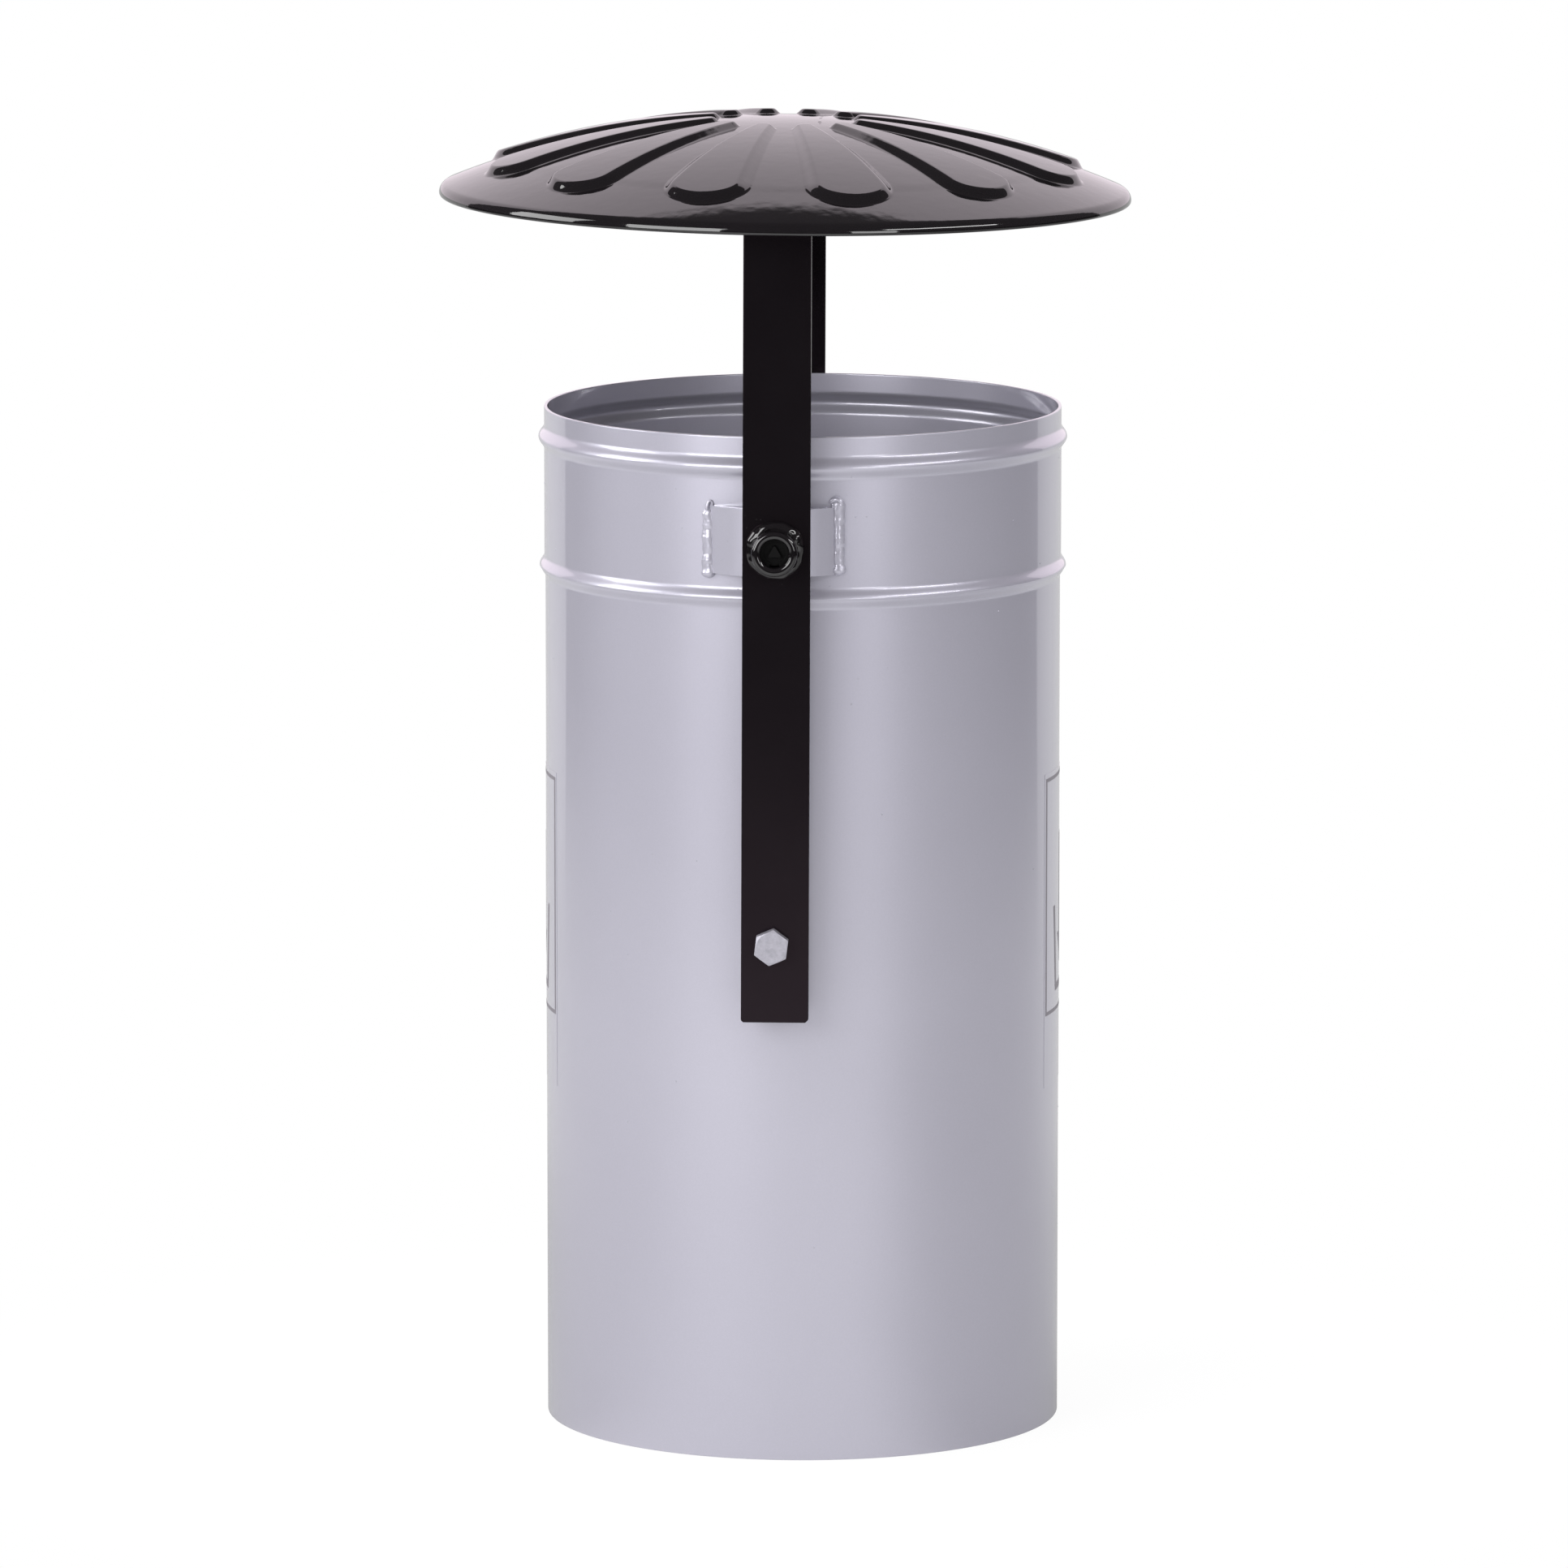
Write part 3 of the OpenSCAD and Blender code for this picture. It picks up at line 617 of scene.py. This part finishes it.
# How far up a petal each point in plan lies, 0 at its foot and 1 on its top; u runs outwards and w across.
# inner and outer are its widths at half height. The flanks are wide along the sides and steep at the outer
# end, and meet there in a hip
def petalShare(u, w, petal):
    wi, wo, re = petal["inner"] / 2, petal["outer"] / 2, petal["endR"]
    w = np.abs(w)
    a = np.array([petal["from"] + wi, wi])
    b = np.array([petal["to"] - re + math.sqrt(re * re - (wo + petal["corner"]) ** 2), wo])
    along = (b - a) / np.linalg.norm(b - a)
    side = (u - a[0]) * along[1] - (w - a[1]) * along[0]
    side = np.where(u < a[0], wi - np.hypot(u - a[0], w), side)
    share = np.clip((u - petal["from"]) / (petal["to"] - petal["from"]), 0, 1)
    side = 0.5 + side / (petal["flankIn"] + (petal["flankOut"] - petal["flankIn"]) * share ** petal["widening"])
    end = re - np.hypot(np.maximum(u - petal["to"] + re, 0), w)
    end = np.where(u > petal["to"] - re, end / petal["flankEnd"], side + 1)
    blend = np.clip(0.5 + 0.5 * (end - side) / petal["hip"], 0, 1)
    return smooth(end * (1 - blend) + side * blend - petal["hip"] * blend * (1 - blend))


def smooth(t):
    t = np.clip(t, 0, 1)
    return t * t * (3 - 2 * t)


# The pressed sheet: a dome with petals whose flanks slope, a turned down lip and a hem
def buildCanopy():
    petal = {"count": 12, "from": 42.9 * mm, "to": 184 * mm, "inner": 12.4 * mm, "outer": 47 * mm,
             "endR": 27.5 * mm, "riseIn": 3.1 * mm, "riseOut": 4.9 * mm, "flankIn": 4.6 * mm,
             "flankOut": 9.5 * mm, "widening": 0.7, "flankEnd": 4.5 * mm, "hip": 0.6, "corner": 2 * mm,
             "points": 112, "tilt": 0.5}
    lip = {"bend": 6 * mm, "hem": 1.6 * mm, "cut": 0.5 * mm}
    valley = {"from": 158 * mm, "to": 169 * mm, "rise": 0.24 * mm, "inner": 60 * mm, "fade": 60 * mm}
    around = petal["count"] * petal["points"]
    startR = dome["rim"] - lip["bend"] * (1 - 0.383)
    radii = np.concatenate([np.linspace(1.5, 38, 10), np.linspace(39, 55, 24)[:-1],
                            np.linspace(55, 154, 60)[:-1], np.linspace(154, 191, 60)[:-1],
                            np.linspace(191, startR / mm, 10)]) * mm
    angle = np.arange(around) / around * 2 * math.pi
    sector = 2 * math.pi / petal["count"]

    def heights(radii):
        r, a = np.meshgrid(radii, angle, indexing="ij")
        local = (a + math.pi / 2) % sector - sector / 2
        share = np.clip((r - petal["from"]) / (petal["to"] - petal["from"]), 0, 1)
        raised = petalShare(r * np.cos(local), r * np.sin(local), petal)
        z = domeZ + np.sqrt(dome["radius"] ** 2 - r ** 2)
        z += (petal["riseIn"] + (petal["riseOut"] - petal["riseIn"]) * share) * raised
        between = 1 - smooth((r - valley["from"]) / (valley["to"] - valley["from"]))
        between *= (1 - raised) * np.clip((r - valley["inner"]) / valley["fade"], 0, 1)
        return r, a, z + valley["rise"] * between

    def addRings(r, a, z):
        rings.extend(np.stack([r[i] * np.cos(a[i]), r[i] * np.sin(a[i]), z[i]], axis=1) for i in range(len(r)))

    rings = []
    addRings(*heights(radii))
    slope = math.asin(startR / dome["radius"])
    centreR = startR - lip["bend"] * math.sin(slope)
    centreZ = domeZ + (dome["radius"] - lip["bend"]) * math.cos(slope)
    edge = arcPoints((centreR, centreZ), lip["bend"], 90 - math.degrees(slope), 0, 10)[1:]
    hemR = centreR + lip["bend"] - lip["hem"]
    innerR = hemR - lip["hem"]
    edge += arcPoints((hemR, centreZ - 0.3 * mm), lip["hem"], 0, -180, 8)
    edge += [(innerR, centreZ + 0.6 * mm), (innerR + lip["cut"], centreZ + 1.6 * mm)]
    for edgeR, edgeZ in edge:
        addRings(np.full((1, around), edgeR), angle[None], np.full((1, around), edgeZ))
    # the inner face, from the lip back to the middle
    r, a, z = heights(np.minimum(radii[::-2], innerR))
    z = z - dome["sheet"] / np.sqrt(1 - (r / dome["radius"]) ** 2)
    addRings(r, a, z)
    points = np.concatenate(rings + [[domeTop], [[0, 0, z[-1, 0]]]])
    top, bottom = len(points) - 2, len(points) - 1
    k = np.arange(around)
    n = (k + 1) % around
    first = np.arange(len(rings) - 1)[:, None] * around
    quads = np.stack([first + k, first + n, first + around + n, first + around + k], axis=2).reshape(-1, 4)
    last = (len(rings) - 1) * around
    caps = [(top, int(y), int(x)) for x, y in zip(k, n)]
    caps += [(bottom, int(last + x), int(last + y)) for x, y in zip(k, n)]
    piece = makePiece("pressed_canopy", points.tolist(), quads.tolist() + caps, glossBlack, "hoop",
                      "black_paint")
    # welded on a little crooked: its right side hangs lower
    piece.data.transform(hoopLean @ leanMatrix(petal["tilt"], domeTop))
    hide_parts("canopy")


buildCanopy()


def buildHubWelds():
    hub = {"half": 20.6 * mm, "long": 56 * mm, "bead": 2.5 * mm, "sunk": 1.0 * mm, "steps": 40, "sides": 12}
    parts = []
    for side, seed in ((-1, 1.3), (1, 6.6)):
        path, sizes = [], []
        for i in range(hub["steps"] + 1):
            t = i / hub["steps"]
            x, y = side * hub["half"], hub["long"] * (t - 0.5)
            z = domeZ + math.sqrt((dome["radius"] - dome["sheet"]) ** 2 - x * x - y * y) - hub["sunk"]
            path.append(Vector((x, y, z)))
            ends = min(1.0, 6 * min(t, 1 - t) + 0.35)
            sizes.append(hub["bead"] * ends * (1 + 0.15 * jitter((x, y, z), 230, seed)))
        parts.append(tubeMesh(path, sizes, hub["sides"], seed, 0.25))
    piece = addSubdivision(makePiece("hub_weld_beads", *joinMeshes(parts), glossBlack, "hoop", "black_paint"))
    piece.data.transform(hoopLean)
    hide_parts("canopy_welds")


buildHubWelds()


# The sleeve with its weld, the snap ring in it, and the key screw behind that
def buildLock():
    lock = {"outer": 13.6 * mm, "bore": 8.3 * mm, "long": 15 * mm, "mouth": 2.6 * mm, "segments": 96}
    place = outwards(lockX, barFront, lockZ)
    outer, bore, long = lock["outer"], lock["bore"], lock["long"]
    outline = roundCorners([(bore, 0), (outer, 0), (outer, long), (bore, long)],
                           [0, 0, lock["mouth"], lock["mouth"]], 8)
    sleeve = makePiece("lock_guard_sleeve", *latheMesh(outline, lock["segments"], place), lockBlack, "hoop",
                       "black_paint")
    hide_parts("lock_sleeve")

    # a thick fillet of weld, thinner below and uneven where the welder stopped and began again
    fillet = {"size": 4.2 * mm, "lift": 0.2 * mm, "steps": 96, "sides": 24, "thin": 0.86, "above": 0.22,
              "below": 0.14, "drop": 0.3 * mm}
    path, sizes = [], []
    for k in range(fillet["steps"]):
        a = 2 * math.pi * k / fillet["steps"]
        p = place(Vector((outer * math.cos(a), outer * math.sin(a), fillet["lift"])))
        path.append(p)
        thick = fillet["thin"] + fillet["below" if math.sin(a) < 0 else "above"] * math.sin(a)
        sizes.append(fillet["size"] * (thick + 0.22 * jitter(p, 110, 3.9) + 0.07 * jitter(p, 300, 7.7)))
    drops = [tubeMesh(path, sizes, fillet["sides"], 5.2, 0.16, closed=True)]
    for x, z in ((-17.6, 21), (-10.8, 18.5), (-8.4, 18.5), (-16.6, 13.8), (-9.4, 14.3), (1.4, 15.2),
                 (-13.9, 11.4), (13.9, 9.2), (-13.3, -21.5), (4.2, -19.8)):
        drops.append(dropMesh(place(Vector((x * mm, z * mm, 0))), fillet["drop"]))
    weld = addSubdivision(makePiece("sleeve_weld_ring", *joinMeshes(drops), lockBlack, "hoop", "black_paint"))
    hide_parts("sleeve_weld")

    ring = {"inner": 6.6 * mm, "outer": 9.2 * mm, "thick": 1 * mm, "at": 7.1 * mm, "slit": 20, "steps": 80}
    inner, outer, thick, slit = ring["inner"], ring["outer"], ring["thick"], math.radians(ring["slit"])
    outline = roundCorners([(inner, 0), (outer, 0), (outer, thick), (inner, thick)], [0.2 * mm] * 4, 2)
    turn = outwards(lockX, barFront + ring["at"], lockZ)
    verts = []
    for s in range(ring["steps"] + 1):
        a = -math.pi / 2 + slit + (2 * math.pi - 2 * slit) * s / ring["steps"]
        verts += [turn(Vector((r * math.cos(a), r * math.sin(a), h))) for r, h in outline]
    snapRing = makePiece("screw_snap_ring", verts, gridFaces(ring["steps"] + 1, len(outline)), darkSteelWithPaintedShade,
                         "hoop", "dark_steel")
    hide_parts("sleeve_ring")

    # at full travel the collar stops just short of the bar
    screw = {"radius": 5 * mm, "tip": 1 * mm, "collar": 8.1 * mm, "collarAt": 5.05 * mm,
             "collarThick": 1.95 * mm, "edge": 0.4 * mm, "axis": 0.01 * mm, "stud": 9 * mm,
             "studLong": 3 * mm, "studRound": 0.8 * mm}
    back = outwards(lockX, barBack, lockZ)
    radius, collar, e = screw["radius"], screw["collar"], screw["edge"]
    shank = screw["collarAt"] + barFront - barBack
    top = shank + screw["collarThick"]
    outline = [(screw["axis"], 0), (radius - screw["tip"], 0), (radius, screw["tip"]), (radius, shank),
               (collar - e, shank), (collar, shank + e), (collar, top - e), (collar - e, top),
               (screw["axis"], top)]
    corner = screw["stud"] / math.sqrt(3)
    angles = [math.radians(90 + 120 * i) for i in range(3)]
    tri = roundCorners([(corner * math.cos(a), corner * math.sin(a)) for a in angles], [screw["studRound"]] * 3)
    end = top + screw["studLong"]
    levels = ((1.0, top - 0.2 * mm), (1.0, end - 0.5 * mm), (0.94, end))
    stud = [back(Vector((x * f, y * f, h))) for f, h in levels for x, y in tri]
    parts = [latheMesh(outline, 64, back), (stud, gridFaces(3, len(tri)))]
    keyScrew = makePiece("three_sided_key_screw", *joinMeshes(parts), darkSteelWithPaintedShade, "key_screw", "dark_steel")
    sharpen(keyScrew)
    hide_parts("key_screw")
    for piece in (sleeve, weld, snapRing, keyScrew):
        piece.data.transform(hoopLean)


buildLock()
print("hoop made")


# Pictogram films on both sides

# A thin film bent round the bin's side, given as rows of (height, left, right)
def filmMesh(rows, steps, side, lift):
    thick = 0.12 * mm
    verts = []
    for radius in (binRadius + lift, binRadius + lift - thick):
        for z, left, right in rows:
            for i in range(steps + 1):
                a = (left + (right - left) * i / steps) / binRadius
                verts.append((binX + side * radius * math.cos(a), side * radius * math.sin(a), z))
    m = steps + 1
    n = len(rows) * m                                   # from here on the same rows on the inner face
    last = n - m
    faces = []
    for row in range(0, last, m):
        end = row + steps
        for a in range(row, end):
            faces += [(a, a + 1, a + m + 1, a + m), (n + a, n + a + m, n + a + m + 1, n + a + 1)]
        faces += [(row, row + m, n + row + m, n + row), (end, n + end, n + end + m, end + m)]
    for a in range(steps):
        faces += [(a, n + a, n + a + 1, a + 1), (last + a, last + a + 1, n + last + a + 1, n + last + a)]
    return verts, faces


def buildFilms():
    film = {"half": 51.5 * mm, "low": 207 * mm, "high": 398 * mm, "lift": 0.15 * mm, "step": 3 * mm}
    border = {"half": 49.1 * mm, "low": 250.5 * mm, "high": 395 * mm, "line": 2.2 * mm, "lift": 0.24 * mm}
    container = {"low": 262.5 * mm, "line": 4.5 * mm, "foot": 26 * mm, "half": 26.6 * mm, "tall": 48 * mm,
                 "flare": 5 * mm}
    arrow = {"low": 276.5 * mm, "head": 20 * mm, "headHalf": 17 * mm, "tip": 0.3 * mm, "shaft": 60 * mm,
             "shaftHalf": 7 * mm}
    steps, rows = 14, [i / 8 for i in range(9)]
    lift, line, half = border["lift"], border["line"], border["half"]
    box, top = container, container["low"] + container["line"]

    def strip(left, right, low, high, lift, side):
        return filmMesh([(low, left, right), (high, left, right)], max(1, int((right - left) / film["step"])),
                        side, lift)

    for side, name in ((-1, "left"), (1, "right")):
        sheet = strip(-film["half"], film["half"], film["low"], film["high"], film["lift"], side)
        sharpen(makePiece("film_" + name, *sheet, filmClear, "bin", "silver_paint"))
        parts = [strip(-half, half, border["low"], border["low"] + line, lift, side),
                 strip(-half, half, border["high"] - line, border["high"], lift, side)]
        for left in (-half, half - line):
            parts.append(strip(left, left + line, border["low"] + line, border["high"] - line, lift, side))
        # an open container
        parts.append(filmMesh([(box["low"], -box["foot"], box["foot"]), (top, -box["half"], box["half"])],
                              steps, side, lift))
        for s in (-1, 1):
            wall = []
            for t in rows:
                out = box["half"] + box["flare"] * t
                ends = sorted((s * out, s * (out - box["line"])))
                wall.append((top + box["tall"] * t, *ends))
            parts.append(filmMesh(wall, steps, side, lift))
        # an arrow that points down into it
        widths = [max(arrow["tip"], arrow["headHalf"] * t) for t in rows]
        head = [(arrow["low"] + arrow["head"] * t, -w, w) for t, w in zip(rows, widths)]
        neck = arrow["low"] + arrow["head"]
        shaft = [(neck + arrow["shaft"] * t, -arrow["shaftHalf"], arrow["shaftHalf"]) for t in rows]
        parts += [filmMesh(head, steps, side, lift), filmMesh(shaft, steps, side, lift)]
        sharpen(makePiece("film_print_" + name, *joinMeshes(parts), filmPrint, "bin", "dark_steel"))


buildFilms()

# Finishes on the solids that stay as they are
for node in ("shell_seam", "base_plate", "base_welds"):
    nodes[node].data.materials.clear()
    nodes[node].data.materials.append(silver)
print("films made")


# Stage

soft = {"interpolation_type": "SMOOTHSTEP"}             # for ranges whose ends blend in


# White paper that keeps the object's shadow. Reflections see it glow near the object, and in a widening
# sheet behind it. Elsewhere they see a dark floor. That glow is painted light: brighter in front as a painted
# pool of light, darker at the right as painted shade, and dimmer close to the object as painted shadow
def buildStage():
    sweep = {"half": 40.0, "shadow": 0.2, "clean": 0.6, "keep": 0.9, "paper": "#ededed", "near": 1.5,
             "far": 3.2, "behind": 51, "glow": 0.66, "dark": 0.02, "underDim": 0.8, "underTo": 1.1,
             "pool": 1.5, "poolTo": (-0.14, -0.99, 0), "poolFrom": 0.4,
             "shade": 0.75, "shadeTo": (0.98, -0.17, 0), "shadeFrom": 0.5}
    e = sweep["half"]
    mesh = bpy.data.meshes.new("floor")
    mesh.from_pydata([(-e, -e, 0), (e, -e, 0), (e, e, 0), (-e, e, 0)], [], [(0, 1, 2, 3)])
    floor = bpy.data.objects.new("floor", mesh)
    bpy.context.scene.collection.objects.link(floor)
    material, tree, place = newMaterial("whitePaperSweep")
    rays = addNode(tree, "LightPath", {}).outputs
    away = addNode(tree, "VectorMath", {"Vector": place}, operation="LENGTH").outputs["Value"]
    clean = addNode(tree, "MapRange", {"Value": away, "From Min": sweep["shadow"], "From Max": sweep["clean"],
                                       "To Min": sweep["keep"], "To Max": 1.0}, **soft)
    # painted shadow in reflections of the floor close to the object
    under = addNode(tree, "MapRange", {"Value": away, "From Min": sweep["clean"], "From Max": sweep["underTo"],
                                       "To Min": sweep["underDim"], "To Max": 1.0}, **soft)
    near = addNode(tree, "MapRange", {"Value": away, "From Min": sweep["near"], "From Max": sweep["far"],
                                      "To Min": 1.0, "To Max": 0.0}, **soft)
    lit = addNode(tree, "Math", {0: near, 1: behindMask(tree, place, sweep["behind"])}, operation="MAXIMUM")
    strength = addNode(tree, "MapRange", {"Value": lit, "To Min": sweep["dark"], "To Max": sweep["glow"]})
    strength = addNode(tree, "Math", {0: strength, 1: under}, operation="MULTIPLY")
    aim = addNode(tree, "VectorMath", {"Vector": place}, operation="NORMALIZE")
    # pool is a painted pool of light and shade is painted shade, both seen only in reflections
    for patch in ("pool", "shade"):
        facing = addNode(tree, "VectorMath", {0: aim, 1: sweep[patch + "To"]}, operation="DOT_PRODUCT")
        change = addNode(tree, "MapRange", {"Value": facing.outputs["Value"], "From Min": sweep[patch + "From"],
                                            "From Max": 1.0, "To Min": 1.0, "To Max": sweep[patch]}, **soft)
        strength = addNode(tree, "Math", {0: strength, 1: change}, operation="MULTIPLY")
    mirrored = addNode(tree, "Emission", {"Strength": strength})
    diffuse = addNode(tree, "BsdfDiffuse", {"Color": sweep["paper"]})
    white = addNode(tree, "Emission", {"Strength": 1.0})
    seen = addNode(tree, "Math", {0: rays["Is Camera Ray"], 1: clean}, operation="MULTIPLY")
    toCamera = addNode(tree, "MixShader", {0: seen, 1: diffuse, 2: white})
    mix = addNode(tree, "MixShader", {0: rays["Is Glossy Ray"], 1: toCamera, 2: mirrored})
    addNode(tree, "OutputMaterial", {"Surface": mix})
    mesh.materials.append(material)


# 1 in a sector behind the object, 0 elsewhere
def behindMask(tree, direction, halfWidth, edge=0.4):
    axes = addNode(tree, "SeparateXYZ", {"Vector": direction}).outputs
    side = addNode(tree, "Math", {0: axes["X"], 1: axes["Y"]}, operation="ARCTAN2")
    side = addNode(tree, "Math", {0: side}, operation="ABSOLUTE")
    return addNode(tree, "MapRange", {
        "Value": side, "From Min": math.radians(halfWidth - edge), "From Max": math.radians(halfWidth + edge),
        "To Min": 1.0, "To Max": 0.0}, **soft)


# White to the camera. Reflections see a white backdrop behind the object and a dim room elsewhere
def buildWorld():
    room = {"backdropWidth": 51, "backdropHeight": 47, "edge": 1.5, "panel": 1.16, "dim": 0.1, "fill": 1.15,
            "tint": "#fff3fb"}
    world = bpy.data.worlds.new("studio")
    bpy.context.scene.world = world
    world.use_nodes = True
    tree = world.node_tree
    tree.nodes.clear()
    direction = addNode(tree, "TexCoord", {}).outputs["Generated"]
    axes = addNode(tree, "SeparateXYZ", {"Vector": direction}).outputs
    top, edge = room["backdropHeight"], room["edge"]
    inHeight = addNode(tree, "MapRange", {
        "Value": axes["Z"], "From Min": math.sin(math.radians(top - edge)),
        "From Max": math.sin(math.radians(top + edge)), "To Min": 1.0, "To Max": 0.0}, **soft)
    panel = addNode(tree, "Math", {0: behindMask(tree, direction, room["backdropWidth"]), 1: inHeight},
                    operation="MULTIPLY")
    mirrored = addNode(tree, "MapRange", {"Value": panel, "To Min": room["dim"], "To Max": room["panel"]})
    rays = addNode(tree, "LightPath", {}).outputs
    shiny = addNode(tree, "Math", {0: rays["Is Glossy Ray"], 1: rays["Is Transmission Ray"]},
                    operation="MAXIMUM")
    unseen = addNode(tree, "Mix", {0: shiny, 2: room["fill"], 3: mirrored})
    strength = addNode(tree, "Mix", {0: rays["Is Camera Ray"], 2: unseen, 3: 1.0})
    tint = addNode(tree, "Mix", {0: shiny, 6: "#ffffff", 7: room["tint"]}, data_type="RGBA")
    back = addNode(tree, "Background", {"Color": tint.outputs[2], "Strength": strength})
    addNode(tree, "OutputWorld", {"Surface": back})


# azimuth counts from the camera's side, to the right of someone who faces the lock. A softbox that isn't
# mirrored gives soft fill only
def addSoftbox(name, azimuth, elevation, distance, wide, tall, power, mirrored=True):
    data = bpy.data.lights.new(name, "AREA")
    data.shape = "RECTANGLE"
    data.size, data.size_y = wide, tall
    data.energy = power
    lamp = bpy.data.objects.new(name, data)
    a, e = math.radians(azimuth), math.radians(elevation)
    target = Vector((0, 0, 0.45))
    away = Vector((math.sin(a) * math.cos(e), -math.cos(a) * math.cos(e), math.sin(e)))
    lamp.location = target + distance * away
    lamp.rotation_euler = (target - lamp.location).to_track_quat("-Z", "Y").to_euler()
    lamp.visible_glossy = mirrored
    bpy.context.scene.collection.objects.link(lamp)


def buildCamera():
    view = {"lens": 270.15, "sensor": 36, "distance": 7.023, "aside": 0.0113, "height": 1.5, "down": 9.03,
            "yaw": 1.6, "reach": 200}
    yaw = math.radians(view["yaw"])
    data = bpy.data.cameras.new("camera")
    data.lens = view["lens"]
    data.sensor_width = view["sensor"]
    data.clip_end = view["reach"]
    camera = bpy.data.objects.new("camera", data)
    camera.location = (binX + view["distance"] * math.sin(yaw) - view["aside"] * math.cos(yaw),
                       -view["distance"] * math.cos(yaw) - view["aside"] * math.sin(yaw), view["height"])
    camera.rotation_euler = (math.radians(90 - view["down"]), 0, yaw)
    bpy.context.scene.collection.objects.link(camera)
    bpy.context.scene.camera = camera


buildStage()
buildWorld()
addSoftbox("left_softbox", -34, 16, 2.2, 1.2, 1.1, 20)
addSoftbox("left_side_softbox", -84, 22, 2.4, 1.2, 1.3, 21)
addSoftbox("left_high_softbox", -65, 52, 2.2, 1.3, 1.0, 6, mirrored=False)
addSoftbox("right_softbox", 30, 9, 2.3, 0.6, 0.7, 5)
addSoftbox("right_side_softbox", 56, 30, 2.4, 1.6, 0.25, 11)
buildCamera()
bpy.context.scene.view_settings.view_transform = "Standard"
print("stage made")
